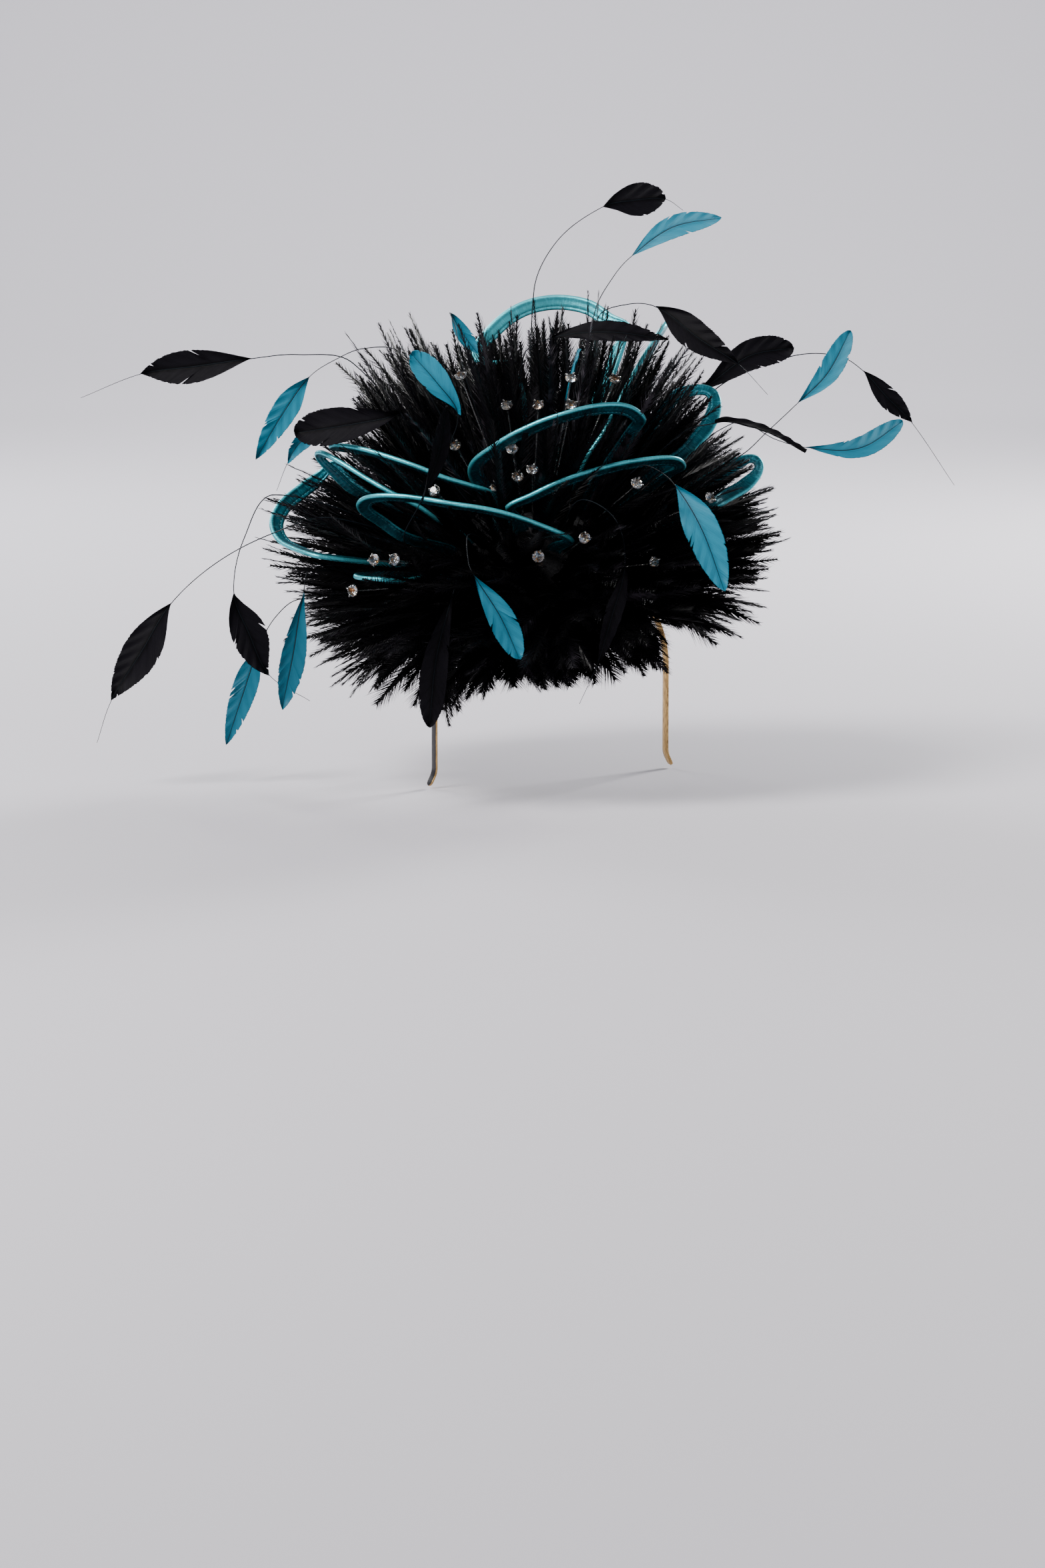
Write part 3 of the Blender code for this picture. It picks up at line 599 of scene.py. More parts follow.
def satin_strip(row):
    """One strip: its mesh and map, its two lines of stitches, and where its shown part runs."""
    route = [placed(*p) for p in row.route]
    line = smooth(rooted(route[0]) + route + rooted(route[-1])[::-1], STRIP_STEP)
    heading, normals = carried_frames(line, len(line) // 2, placed(*row.plane))
    lengths = lengths_along(line)
    middle = len(line) // 2
    centre = (sum(route, Vector()) / len(route)).lerp(ROSETTE_MIDDLE, CENTRE_PULL)
    sign = 1 if normals[middle].cross(heading[middle]).dot(centre - line[middle]) > 0 else -1
    radii = bend_radii(line, lengths)
    widths = [min(STRIP_WIDTH, BEND_SHARE * min(radii[max(0, i - WIDTH_REACH):i + WIDTH_REACH + 1]))
              for i in range(len(line))]
    evener = np.ones(WIDTH_EVENED) / WIDTH_EVENED
    widths = np.convolve(np.pad(widths, WIDTH_EVENED // 2, "edge"), evener, "valid").tolist()
    rings, chart, seams = [], [], ([], [])
    section = list(STRIP_SECTION) + [(w, -t) for w, t in STRIP_SECTION[-2:0:-1]]
    for i, (spot, ahead, normal) in enumerate(zip(line, heading, normals)):
        inward = sign * normal.cross(ahead)
        tight = min(1.0, TIGHT_BEND / radii[i])
        ring = []
        for w, t in section:
            pucker = PUCKER_DEPTH * tight * max(0, w - PUCKER_FROM) * sin(
                2 * pi * lengths[i] / PUCKER_PITCH + 5 * w)
            thick = t * (1 + pucker * 2.5)
            ring.append(spot + (w * widths[i] * inward + thick * normal) * MM)
            chart.append((lengths[i], (w if t >= 0 else -w) * 10))
        rings.append(ring)
        for side, seam in zip((1, -1), seams):
            seam.append(spot + (SEAM_SHARE * widths[i] * inward + side * SEAM_LIFT * normal) * MM)
    points, faces = skin(rings)
    route_runs = [lengths[nearest(line, end)] for end in (route[0], route[-1])]
    return points, faces, chart + [chart[0], chart[-1]], seams, route_runs


satin_finish = Finish("teal_satin", Metallic=0.65, Specular_IOR_Level=0.6)
run, breadth, cloth = satin_finish.uv()
drawn = cloth.noise(1.0, 4, 0.6, (0.9, 0.16, 1))
grain = cloth.noise(1.0, 2, 0.5, (0.35, 9, 1))
warp = (run * (2 * pi / 0.42) + breadth * 1.2).wave()
# The base colour carries a painted highlight: the gleam along the drawn threads, the round rim and the
# loops marked pale are blended towards a pale teal that stands in for light.
painted_gleam = (drawn * 0.7 + grain * 0.3).step(0.46, 0.66)
shade = satin_finish.place.noise(60, 2).step(0.35, 0.7)
rim = 1 - breadth.maths("ABSOLUTE", breadth).step(0.7, 2.4)
painted_highlight_share = (painted_gleam * 0.3 + rim * 0.7 + satin_finish.read("pale")).least(1.0)
satin_finish.lead(Base_Color=painted_highlight_share.blend(shade.blend(SATIN_DEEP, SATIN_TEAL), SATIN_PAINTED_HIGHLIGHT),
                  Roughness=0.24 + drawn * 0.16)
satin_finish.relief(drawn * 0.6 + grain * 0.25 + warp * 0.04, 0.22 * MM)


def add_line(points, edges, line):
    """Adds a line to the points and edges of a carrier."""
    edges += [(len(points) + i, len(points) + i + 1) for i in range(len(line) - 1)]
    points += line


loop_pieces = []
loop_routes = {}
seam_points, seam_edges = [], []
for row in LOOPS:
    points, faces, chart, seams, (enters, leaves) = satin_strip(row)
    strip = mesh_piece("satin_" + row.name, points, faces, satin_finish)
    map_piece(strip, chart)
    # painted highlight: each loop's share of painted light, stored as pale for the satin finish to read
    mark(strip, "pale", [PAINTED_LIGHT_ON_LOOPS.get(row.name, 0.0)] * len(points))
    belongs(strip, "satin", "satin_loop_" + row.name)
    loop_pieces.append(strip)
    loop_routes[strip.name] = [enters <= run <= leaves for run, _ in chart]
    for seam in seams:
        add_line(seam_points, seam_edges, seam)


def growth(name, sizes):
    """A tree that grows parts on a mesh: its first wires, by the names of its inputs."""
    tree = bpy.data.node_groups.new(name, "GeometryNodeTree")
    tree.interface.new_socket("Geometry", in_out="INPUT", socket_type="NodeSocketGeometry")
    for label, value in sizes.items():
        kind = "NodeSocketInt" if isinstance(value, int) else "NodeSocketFloat"
        tree.interface.new_socket(label, in_out="INPUT", socket_type=kind).default_value = value
    tree.interface.new_socket("Geometry", in_out="OUTPUT", socket_type="NodeSocketGeometry")
    source = tree.nodes.new("NodeGroupInput")
    return {s.name: Wire(tree, s) for s in source.outputs if s.name}


def grown(name, carrier, inputs, result, sizes, finish, slot, *nodes):
    """Ends a tree, runs it on the carrier and keeps what grew as a plain piece."""
    tree = result.tree
    real = result.node("GeometryNodeRealizeInstances", None, {"Geometry": result})
    painted = real.node("GeometryNodeSetMaterial", None, {
        "Geometry": real, "Material": finish.material})
    tree.links.new(painted.socket, tree.nodes.new("NodeGroupOutput").inputs[0])
    modifier = carrier.modifiers.new(name, "NODES")
    modifier.node_group = tree
    for item in tree.interface.items_tree:
        if item.in_out == "INPUT" and item.name in sizes:
            modifier[item.identifier] = sizes[item.name]
    graph = bpy.context.evaluated_depsgraph_get()
    mesh = bpy.data.meshes.new_from_object(carrier.evaluated_get(graph),
                                           preserve_all_data_layers=True, depsgraph=graph)
    bpy.data.objects.remove(carrier, do_unlink=True)
    mesh.name = name
    belongs(linked(name, mesh), slot, *nodes)


def carrier_of(points, edges=()):
    """A bare mesh of points and edges, for parts to grow on."""
    mesh = bpy.data.meshes.new("carrier")
    mesh.from_pydata([tuple(p) for p in points], list(edges), [])
    return linked("carrier", mesh)


def curve_along(wires, step):
    """The carrier's edges as a curve that is cut evenly, by the input of that name."""
    edges = wires["Geometry"]
    curve = edges.node("GeometryNodeMeshToCurve", None, {"Mesh": edges})
    return edges.node("GeometryNodeResampleCurve", {"mode": "LENGTH"}, {
        "Curve": curve, "Length": wires[step]})


stitch_sizes = {"Stitch pitch": STITCH_PITCH * MM, "Stitch length": STITCH_LENGTH * MM,
                "Thread radius": THREAD_HALF * MM}
sewing = growth("stitch_rows", stitch_sizes)
seam_curve = curve_along(sewing, "Stitch pitch")
bead = seam_curve.node("GeometryNodeMeshIcoSphere", None, {"Subdivisions": 1, "Radius": 1.0})
turn = seam_curve.node("FunctionNodeAlignRotationToVector", {"axis": "Z"}, {
    "Vector": seam_curve.node("GeometryNodeInputTangent")})
size = seam_curve.node("ShaderNodeCombineXYZ", None, {
    "X": sewing["Thread radius"], "Y": sewing["Thread radius"], "Z": sewing["Stitch length"] * 0.5})
stitches = seam_curve.node("GeometryNodeInstanceOnPoints", None, {
    "Points": seam_curve, "Instance": bead, "Rotation": turn, "Scale": size})
thread_finish = Finish("teal_thread", Roughness=0.55, Sheen_Weight=0.3)
fuzz = thread_finish.place.noise(1500, 2)
thread_finish.lead(Base_Color=fuzz.blend(THREAD_DARK, THREAD_PALE))
thread_finish.relief(fuzz, 0.05 * MM)
grown("satin_stitches", carrier_of(seam_points, seam_edges), sewing, stitches, stitch_sizes,
      thread_finish, "satin")

# Crystals: cut stones, each in a silver cup with four claws. Two silver wires are
# twisted into a stem that leads from the rosette to the foot of the cup.
STONE_RADIUS = 3.05
CUP_DEPTH = 3.4
STRAND_HALF = 0.27
STRAND_OFFSET = 0.24
TWIST_PITCH = 2.6
WIRE_STEP = 0.5
WIRE_CUT = 3.0
TOWARD_VIEW = 0.7
SILVER_PALE = (0.62, 0.61, 0.60, 1)
SILVER_DULL = (0.25, 0.24, 0.23, 1)
CUP_SIDES = 20
CLAW_SIDES = 8
# height, distance from the axis and half thickness along a claw
CLAW_LEVELS = ((0.5, 1.6, 0.35), (1.6, 2.75, 0.42), (2.8, 3.45, 0.42), (3.5, 3.15, 0.42),
               (3.95, 2.45, 0.34), (4.0, 2.05, 0.16))
# height above the cup's foot and radius of each level of the stone, its sides and turn
STONE_LEVELS = ((0.7, 0.35, 8, 0), (2.45, 3.0, 16, 0), (2.75, STONE_RADIUS, 16, 0),
                (3.35, 2.5, 16, 0.5), (4.1, 1.75, 8, 0.5))
CUP_PROFILE = ((0.0, 0.5), (0.12, 1.2), (0.9, 1.75), (2.0, 2.85), (2.35, 3.2), (2.3, 2.95), (1.6, 2.1),
               (0.7, 1.1), (0.55, 0.3))
# the middle of each stone's foot: across, up and toward in millimetres
CRYSTALS = (
    (-50, 98, 66), (-25, 81, 78), (-8, 81, 80), (10, 96, 74),
    (10, 81, 80), (-53, 60, 66), (-22, 57, 84), (-19, 42, 86),
    (-11, 46, 84), (-31, 38, 66), (-64, 34, 88), (17, 7, 116),
    (-8, -3, 120), (34, 97, 56), (45, 37, 104), (86, 32, 60),
    (-96, -4, 104), (-85, -4, 106), (-108, -20, 88), (55, -5, 92),
)
crystal_nodes = ["crystal_%02d" % (i + 1) for i in range(len(CRYSTALS))]


def ring_at(height, radius, sides, turn=0.0):
    """A level ring of points about the Z axis, in millimetres."""
    return [Vector((radius * cos(a), radius * sin(a), height)) * MM
            for a in angles_round(sides, turn)]


def cut_stone():
    """A round stone as the hull of its levels: table, crown, girdle and point."""
    work = bmesh.new()
    for level in STONE_LEVELS:
        for point in ring_at(*level):
            work.verts.new(point)
    bmesh.ops.convex_hull(work, input=work.verts)
    bmesh.ops.dissolve_limit(work, angle_limit=radians(1), verts=work.verts, edges=work.edges)
    mesh = bpy.data.meshes.new("cut_stone")
    work.to_mesh(mesh)
    work.free()
    return linked("cut_stone", mesh)


def joined(first, second):
    """The points and faces of two meshes as one."""
    (points, faces), (more, ends) = first, second
    return points + more, faces + [tuple(len(points) + v for v in f) for f in ends]


def claw_cup():
    """The cup, and its four claws bent in over the stone's crown."""
    cup = skin([ring_at(h, r, CUP_SIDES) for h, r in CUP_PROFILE])
    for quarter in range(4):
        turn = Matrix.Rotation(pi / 4 + quarter * pi / 2, 3, "Z")
        cup = joined(cup, skin([
            [turn @ Vector((out + half * cos(a), half * sin(a), height + half * cos(a) * 0.6)) * MM
             for a in angles_round(CLAW_SIDES)] for height, out, half in CLAW_LEVELS]))
    return mesh_piece("claw_cup", *cup)


def stored(wire, label, kind="FLOAT"):
    """A value or vector marked on the carrier's points, as a wire."""
    return wire.node("GeometryNodeInputNamedAttribute", {"data_type": kind}, {"Name": label})


def set_on_points(name, carrier, prototype, finish, *nodes):
    """Copies a prototype to each point of a carrier, turned to its facing and its spin."""
    setting = growth(name, {"Part scale": 1.0})
    points = setting["Geometry"]
    part = points.node("GeometryNodeObjectInfo", {"transform_space": "ORIGINAL"}, {
        "Object": prototype}, out="Geometry")
    facing, spin = stored(points, "facing", "FLOAT_VECTOR"), stored(points, "spin")
    about = points.node("FunctionNodeEulerToRotation", None, {
        "Euler": points.node("ShaderNodeCombineXYZ", None, {"Z": spin})})
    aimed = points.node("FunctionNodeAlignRotationToVector", {"axis": "Z"}, {"Vector": facing})
    turned_so = points.node("FunctionNodeRotateRotation", {"rotation_space": "LOCAL"}, {
        "Rotation": aimed, "Rotate By": about})
    copies = points.node("GeometryNodeInstanceOnPoints", None, {
        "Points": points, "Instance": part, "Rotation": turned_so, "Scale": setting["Part scale"]})
    grown(name, carrier, setting, copies, {"Part scale": 1.0}, finish, "crystal", *nodes)
    bpy.data.objects.remove(prototype, do_unlink=True)


silver_finish = Finish("silver_wire_and_cup", Metallic=1.0)
tarnish = silver_finish.place.noise(300, 4, 0.6)
silver_finish.lead(Base_Color=tarnish.step(0.4, 0.75).blend(SILVER_PALE, SILVER_DULL),
                   Roughness=0.16 + tarnish * 0.25)
silver_finish.relief(silver_finish.place.noise(1800, 2), 0.03 * MM)
stone_finish = Finish("clear_iridescent_stone", Roughness=0.015, IOR=1.62, Transmission_Weight=1.0)
hue = stone_finish.place.noise(420, 1)
stone_finish.lead(Base_Color=hue.node("ShaderNodeValToRGB", {"stops": (
    (0.32, (0.62, 0.26, 0.08, 1)), (0.42, (0.88, 0.80, 0.68, 1)), (0.5, (0.74, 0.82, 0.84, 1)),
    (0.58, (0.22, 0.44, 0.70, 1)), (0.66, (0.95, 0.42, 0.10, 1)))}, {"Fac": hue}))

dice = Random(5)
wire_points, wire_edges, feet, facings, spins = [], [], [], [], []
for row in CRYSTALS:
    spot = placed(*row)
    facing = ((spot - ROSETTE_MIDDLE).normalized() + TOWARD_VIEW * to_viewer).normalized()
    foot = spot - CUP_DEPTH * MM * facing
    ends = [foot - 2 * CUP_DEPTH * MM * facing, foot + 0.4 * MM * facing]
    add_line(wire_points, wire_edges, smooth(rooted(spot) + ends, WIRE_CUT))
    feet.append(foot)
    facings.append(facing)
    spins.append(dice.uniform(0, pi))

for name, prototype, finish, nodes in (
        ("crystal_cups", claw_cup(), silver_finish, ()),
        ("crystal_stones", cut_stone(), stone_finish, crystal_nodes)):
    stand = carrier_of(feet)
    mark(stand, "facing", facings, "FLOAT_VECTOR")
    mark(stand, "spin", spins)
    set_on_points(name, stand, prototype, finish, *nodes)

twist_sizes = {"Strand radius": STRAND_HALF * MM, "Strand offset": STRAND_OFFSET * MM,
               "Twist pitch": TWIST_PITCH * MM, "Step": WIRE_STEP * MM}
twist = growth("twisted_wires", twist_sizes)
core = curve_along(twist, "Step")
along_wire = core.node("GeometryNodeSplineParameter", out="Length")
normal = core.node("GeometryNodeInputNormal")
tangent = core.node("GeometryNodeInputTangent")
other = core.node("ShaderNodeVectorMath", {"operation": "CROSS_PRODUCT"}, {0: normal, 1: tangent})
strands = core.node("GeometryNodeJoinGeometry")
for phase in (0.0, pi):
    angle = along_wire * (2 * pi) / twist["Twist pitch"] + phase
    offset = (normal * angle.wave() + other * (angle + pi / 2).wave()) * twist["Strand offset"]
    strand = core.node("GeometryNodeSetPosition", None, {"Geometry": core, "Offset": offset})
    circle = core.node("GeometryNodeCurvePrimitiveCircle", None, {
        "Resolution": 5, "Radius": twist["Strand radius"]})
    tube = core.node("GeometryNodeCurveToMesh", None, {
        "Curve": strand, "Profile Curve": circle, "Fill Caps": True})
    core.tree.links.new(tube.socket, strands.socket.node.inputs[0])
grown("crystal_wires", carrier_of(wire_points, wire_edges), twist, strands, twist_sizes,
      silver_finish, "crystal")

# Trimmed feathers: goose quills stripped bare but for one leaf of vane cut to shape near
# the end. Barbs leave the quill aslant, hold together as a cupped sheet, and part in
# notches where the leaf is worn. They are dyed black or teal.
QUILL_HALF = 0.42
TAIL_HALF = 0.13
VANE_HALF_THICK = 0.09
BARB_SLANT = radians(33.0)
ROW_STEP = 0.65
VANE_SHARES = (0.0, 0.05, 0.16, 0.32, 0.5, 0.68, 0.84, 0.95, 1.0)
QUILL_SIDES = 6
STEM_STEP = 1.2
HALVINGS = 12
SPLITS = 4
SPLIT_PLACES = (0.2, 0.9)
SPLIT_DEPTHS = (0.05, 0.45)
SPLIT_LENGTH = 0.7
WORN_EDGE = 0.05
RIPPLE = 0.25
CUPPED = (0.06, 0.16)
TWISTED = (-0.1, 0.1)
BARB_PITCH = 0.62
QUILL_DYE = (0.006, 0.009, 0.012, 1)
# fullest: where along its length a leaf is widest; rounded: 0 for a pointed end, 1 for a round one;
# blade_from and blade_to: the points of the route between which the leaf sits
Feather = namedtuple("Feather", "name width fullest rounded blade_from blade_to facing route")
FEATHERS = (
    Feather("black_top", 19, 0.6, 0.8, 2, 4, (0, 0, 1), (
        (-10, 149, 10), (3, 177, 8), (28, 196, 5), (45, 200, 2), (63, 201, 0), (73, 195, -2))),
    Feather("teal_top", 13, 0.55, 0.7, 2, 4, (0, 0, 1), (
        (24, 138, 20), (34, 156, 22), (43, 166, 24), (66, 182, 28), (93, 187, 30))),
    Feather("black_upper_right", 17, 0.42, 0.15, 2, 4, (0, 0, 1), (
        (25, 132, 30), (41, 139, 35), (57, 137, 40), (80, 119, 48), (102, 104, 52), (117, 88, 54))),
    Feather("black_round_right", 18, 0.7, 1, 0, 3, (0, 0, 1), (
        (80, 93, 5), (89, 99, 5), (110, 114, 0), (134, 119, -6))),
    Feather("teal_upper_right", 13, 0.6, 0.9, 2, 4, (0, 0, 1), (
        (105, 58, 20), (118, 70, 18), (135, 86, 15), (152, 103, 12), (165, 127, 10))),
    Feather("teal_right", 13, 0.64, 0.95, 2, 4, (0, 0.3, 1), (
        (99, 74, 35), (123, 65, 33), (139, 61, 30), (169, 61, 26), (193, 76, 22))),
    Feather("black_right_edge", 10, 0.5, 0.1, 1, 4, (0, 1, 0.4), (
        (70, 66, 70), (88, 72, 60), (96, 73, 57), (117, 68, 50), (138, 57, 46))),
    Feather("black_far_right", 12, 0.55, 0.2, 3, 5, (0, 0, 1), (
        (92, 97, -12), (133, 115, -16), (160, 116, -20), (174, 108, -22), (188, 93, -24),
        (202, 79, -26), (226, 44, -28))),
    Feather("teal_front_right", 19, 0.45, 0.7, 2, 4, (0, 0, 1), (
        (46, 46, 95), (55, 44, 104), (65, 35, 110), (79, 11, 116), (91, -21, 112))),
    Feather("teal_front", 15, 0.6, 0.9, 2, 4, (0, 0, 1), (
        (-45, 9, 110), (-45, -6, 116), (-42, -13, 118), (-28, -35, 118), (-18, -57, 112))),
    Feather("black_front_thin", 11, 0.45, 0.1, 2, 4, (0.5, 0, 1), (
        (15, 28, 100), (33, 17, 112), (38, -7, 116), (31, -35, 114), (23, -61, 108), (14, -81, 104))),
    Feather("black_front_broad", 15, 0.66, 0.9, 1, 3, (0, 0, 1), (
        (-48, -8, 108), (-53, -22, 112), (-62, -56, 110), (-66, -93, 100))),
    Feather("teal_low_left", 14, 0.6, 0.5, 1, 3, (0.3, 0, 1), (
        (-130, -6, 60), (-135, -20, 62), (-141, -55, 60), (-147, -83, 56))),
    Feather("teal_lower_left", 14, 0.42, 0.5, 2, 4, (0, 0, 1), (
        (-140, -22, 20), (-152, -31, 18), (-161, -46, 16), (-170, -72, 14), (-180, -102, 12))),
    Feather("black_lower_left", 20, 0.5, 0.1, 2, 4, (0, 0, 1), (
        (-151, 34, 48), (-168, 11, 44), (-174, -19, 42), (-166, -41, 38), (-155, -64, 34),
        (-133, -78, 30))),
    Feather("black_far_left", 21, 0.5, 0.2, 3, 5, (0, 0, 1), (
        (-120, 20, 72), (-150, 13, 60), (-182, -2, 44), (-208, -24, 36), (-225, -51, 33),
        (-242, -78, 30), (-250, -101, 28))),
    Feather("black_upper_left", 19, 0.6, 0.25, 2, 4, (0, 0, 1), (
        (-110, 109, 10), (-141, 114, 8), (-166, 112, 6), (-197, 108, 3), (-228, 104, 0),
        (-262, 91, -4))),
    Feather("teal_upper_left", 14, 0.4, 0.45, 3, 5, (0, 0, 1), (
        (-83, 112, 36), (-103, 115, 34), (-119, 109, 32), (-133, 100, 30), (-148, 80, 26),
        (-163, 55, 22))),
    Feather("black_round_left", 21, 0.68, 1, 0, 3, (0, 0.2, 1), (
        (-82, 75, 75), (-91, 73, 78), (-115, 69, 76), (-139, 66, 70))),
    Feather("teal_centre_left", 15, 0.64, 0.9, 1, 3, (0.3, 0, 1), (
        (-56, 52, 72), (-51, 75, 88), (-62, 91, 93), (-76, 107, 90))),
    Feather("teal_small_top", 9, 0.6, 0.4, 2, 4, (0, 0.5, 1), (
        (-48, 100, 50), (-53, 126, 46), (-56, 134, 42), (-50, 124, 39), (-41, 112, 38))),
    Feather("black_centre", 14, 0.6, 0.7, 1, 3, (0.7, 0, 0.8), (
        (-79, 5, 98), (-70, 27, 116), (-61, 52, 114), (-57, 78, 106))),
    Feather("black_top_flat", 14, 0.5, 0.15, 1, 3, (0, 0.6, 1), (
        (-16, 109, 45), (-1, 119, 50), (31, 122, 54), (63, 118, 50))),
    Feather("teal_edge_up", 8, 0.5, 0.3, 0, 2, (1, 0, 0.3), (
        (7, 85, 50), (10, 99, 54), (14, 113, 56))),
    Feather("teal_left_curl", 9, 0.4, 0.2, 0, 2, (0.6, 0, 1), (
        (-127, 68, 38), (-138, 63, 38), (-145, 52, 36), (-151, 37, 34))),
)
# leaves painted darker than the others, a painted shade on those that sit in shade, and by how much
PAINTED_SHADE_ON_LEAVES = {"teal_low_left": 0.8, "teal_lower_left": 0.6, "teal_left_curl": 0.5, "teal_right": 0.35,
             "teal_small_top": 0.2}


class Stem:
    """A quill's line with frames, read at any length in millimetres from its foot."""

    def __init__(self, row):
        route = [placed(*p) for p in row.route]
        points = rooted(route[0]) + route
        self.line = smooth(points, STEM_STEP)
        self.lengths = lengths_along(self.line)
        found = [nearest(self.line, points[2 + end]) for end in (row.blade_from, row.blade_to)]
        self.leaf_start, self.leaf_end = (self.lengths[i] for i in found)
        self.heading, self.normals = carried_frames(self.line, sum(found) // 2, placed(*row.facing))

    def at(self, length):
        """Place, direction and normal at a length along the stem."""
        where = min(max(float(np.interp(length, self.lengths, range(len(self.line)))), 0),
                    len(self.line) - 1.001)
        i = int(where)
        t = where - i
        mixed = [pair[i].lerp(pair[i + 1], t) for pair in (self.line, self.heading, self.normals)]
        return mixed[0], mixed[1].normalized(), mixed[2].normalized()


def leaf_outline(share, row):
    """Half width of a leaf in millimetres, at a share of its length."""
    if not 0 < share < 1:
        return 0.0
    if share < row.fullest:
        return row.width / 2 * sin(pi / 2 * share / row.fullest) ** 1.15
    beyond = (share - row.fullest) / (1 - row.fullest)
    return row.width / 2 * (1 - beyond ** 2) ** (1.2 - 0.72 * row.rounded)


def barb_length(foot, length, row):
    """How far a slanting barb runs from its foot on the quill to the leaf's outline."""
    low, high = 0.0, (length - foot) / cos(BARB_SLANT)
    for _ in range(HALVINGS):
        middle = (low + high) / 2
        if middle * sin(BARB_SLANT) < leaf_outline((foot + middle * cos(BARB_SLANT)) / length, row):
            low = middle
        else:
            high = middle
    return low


def vane(stem, row, dice):
    """The leaf of one feather: slanting rows of barb on both sides of the quill."""
    length = stem.leaf_end - stem.leaf_start
    rings, chart = [], []
    count = int(length / ROW_STEP)
    splits = [dice.uniform(*SPLIT_PLACES) for _ in range(SPLITS)]
    depths = [dice.uniform(*SPLIT_DEPTHS) for _ in splits]
    cup = dice.uniform(*CUPPED)
    twist = dice.uniform(*TWISTED)
    for i in range(count + 1):
        foot = length * i / count
        reach = {}
        for side in (1, -1):
            worn = 1 - WORN_EDGE * dice.random()
            for k, (split, depth) in enumerate(zip(splits, depths)):
                if k % 2 == (side > 0):
                    worn *= 1 - depth * max(0, 1 - abs(foot / length - split) * length / SPLIT_LENGTH)
            reach[side] = max(0.05, barb_length(foot, length, row) * worn)
        top, bottom, marks = [], [], []
        for side in (-1, 1):
            shares = VANE_SHARES[:0:-1] if side < 0 else VANE_SHARES
            for share in shares:
                out = reach[side] * share
                spot, ahead, normal = stem.at(stem.leaf_start + foot + out * cos(BARB_SLANT))
                across = ahead.cross(normal)
                rise = row.width * (cup * share ** 2 + twist * side * share)
                rise += RIPPLE * share * sin(foot * 0.7 + side)
                rise -= RIPPLE * max(0, 1 - share / 0.05)
                thick = VANE_HALF_THICK * (1 - 0.6 * share)
                centre = spot + (side * out * sin(BARB_SLANT) * across + rise * normal) * MM
                top.append(centre + thick * MM * normal)
                bottom.append(centre - thick * MM * normal)
                marks.append((foot, side * out))
        rings.append(top + bottom[-2:0:-1])
        chart += marks + marks[-2:0:-1]
    return skin(rings), chart + [chart[0], chart[-1]]


def quill(stem):
    """The bare quill: thickest at its foot, drawn out to a hair at the tail."""
    total = stem.lengths[-1]
    rings, chart = [], []
    for length in np.linspace(0, total, len(stem.line) // 2).tolist():
        spot, ahead, normal = stem.at(length)
        half = TAIL_HALF + (QUILL_HALF - TAIL_HALF) * (1 - length / total) ** 0.8
        side = ahead.cross(normal)
        rings.append([spot + half * MM * (cos(a) * side + sin(a) * normal)
                      for a in angles_round(QUILL_SIDES)])
        chart += [(length, k - 3.0) for k in range(QUILL_SIDES)]
    return skin(rings), chart + [chart[0], chart[-1]]


def feather_finish(name, dark, plain, light, **fixed):
    """A dyed vane: fine barbs along the map, bands painted lighter as a sheen, darker near the quill, a
    painted shade where marked deep.
    """
    finish = Finish(name, **fixed)
    run, out, chart = finish.uv()
    # deep is each leaf's share of painted shade: its base colour goes darker, towards the dark of the
    # barbs
    bare_quill, deep = finish.read("quill"), finish.read("deep")
    barbs = (run * (2 * pi / BARB_PITCH) + chart.noise(0.5) * 5).wave() * 0.5 + 0.5
    # painted sheen: the bands are glossier, and are also painted lighter in the base colour
    bands = chart.noise(1.0, 4, 0.6, (1.1, 0.07, 1))
    patches = chart.noise(0.09, 2)
    edge = out.maths("ABSOLUTE", out).step(0.3, 5)
    tone = (bands * 0.6 + patches * 0.35 + edge * 0.2).step(0.40, 0.72) * (1 - deep)
    vane_colour = (barbs * 0.5).most(deep * 0.8).blend(tone.blend(plain, light), dark)
    finish.lead(Base_Color=bare_quill.blend(vane_colour, QUILL_DYE),
                Roughness=0.55 - bands * 0.15 - bare_quill * 0.15)
    finish.relief(barbs * 0.6 + bands * 0.6, 0.09 * MM)
    return finish


feather_finishes = {
    "black": feather_finish("black_feather", (0.0006, 0.0006, 0.0008, 1), (0.0016, 0.0014, 0.0020, 1),
                            (0.0065, 0.0058, 0.0085, 1), Specular_IOR_Level=0.06),
    "teal": feather_finish("teal_feather", (0.002, 0.070, 0.115, 1), (0.004, 0.150, 0.235, 1),
                           (0.010, 0.245, 0.365, 1), Specular_IOR_Level=0.3),
}
dice = Random(23)
feather_pieces = []
for row in FEATHERS:
    stem, colour = Stem(row), row.name.split("_")[0]
    leaf, leaf_map = vane(stem, row, dice)
    shaft, shaft_map = quill(stem)
    piece = mesh_piece("trimmed_" + row.name, *joined(leaf, shaft), feather_finishes[colour])
    map_piece(piece, leaf_map + shaft_map)
    mark(piece, "quill", [0.0] * len(leaf_map) + [1.0] * len(shaft_map))
    # painted shade: how much darker this leaf is painted, stored as deep
    mark(piece, "deep", [PAINTED_SHADE_ON_LEAVES.get(row.name, 0.0)] * len(leaf_map + shaft_map))
    belongs(piece, "feather_" + colour, "feather_" + row.name)
    feather_pieces.append(piece)

# Hackles: over a thousand long black cock feathers sewn by their feet all over the ground.
# Each has a fine quill and free barbs that grow shorter to its pointed tip. They stand up
# at the crown, lie outwards lower down, and droop at the front edge.
HACKLES = 1040
SIDE_HACKLES = 960
SIDE_ANGLE = 24.0
SIDE_SHARE = 0.75
BARB_PAIRS = 45
BARB_HALF = 0.27
BARB_LENGTH = 20.0
QUILL_JOINTS = 7
HACKLE_QUILL_HALF = 0.30
VANE_HALF = 3.2
BARB_CLEARANCE = 0.3
QUILL_CLEARANCE = 1.2
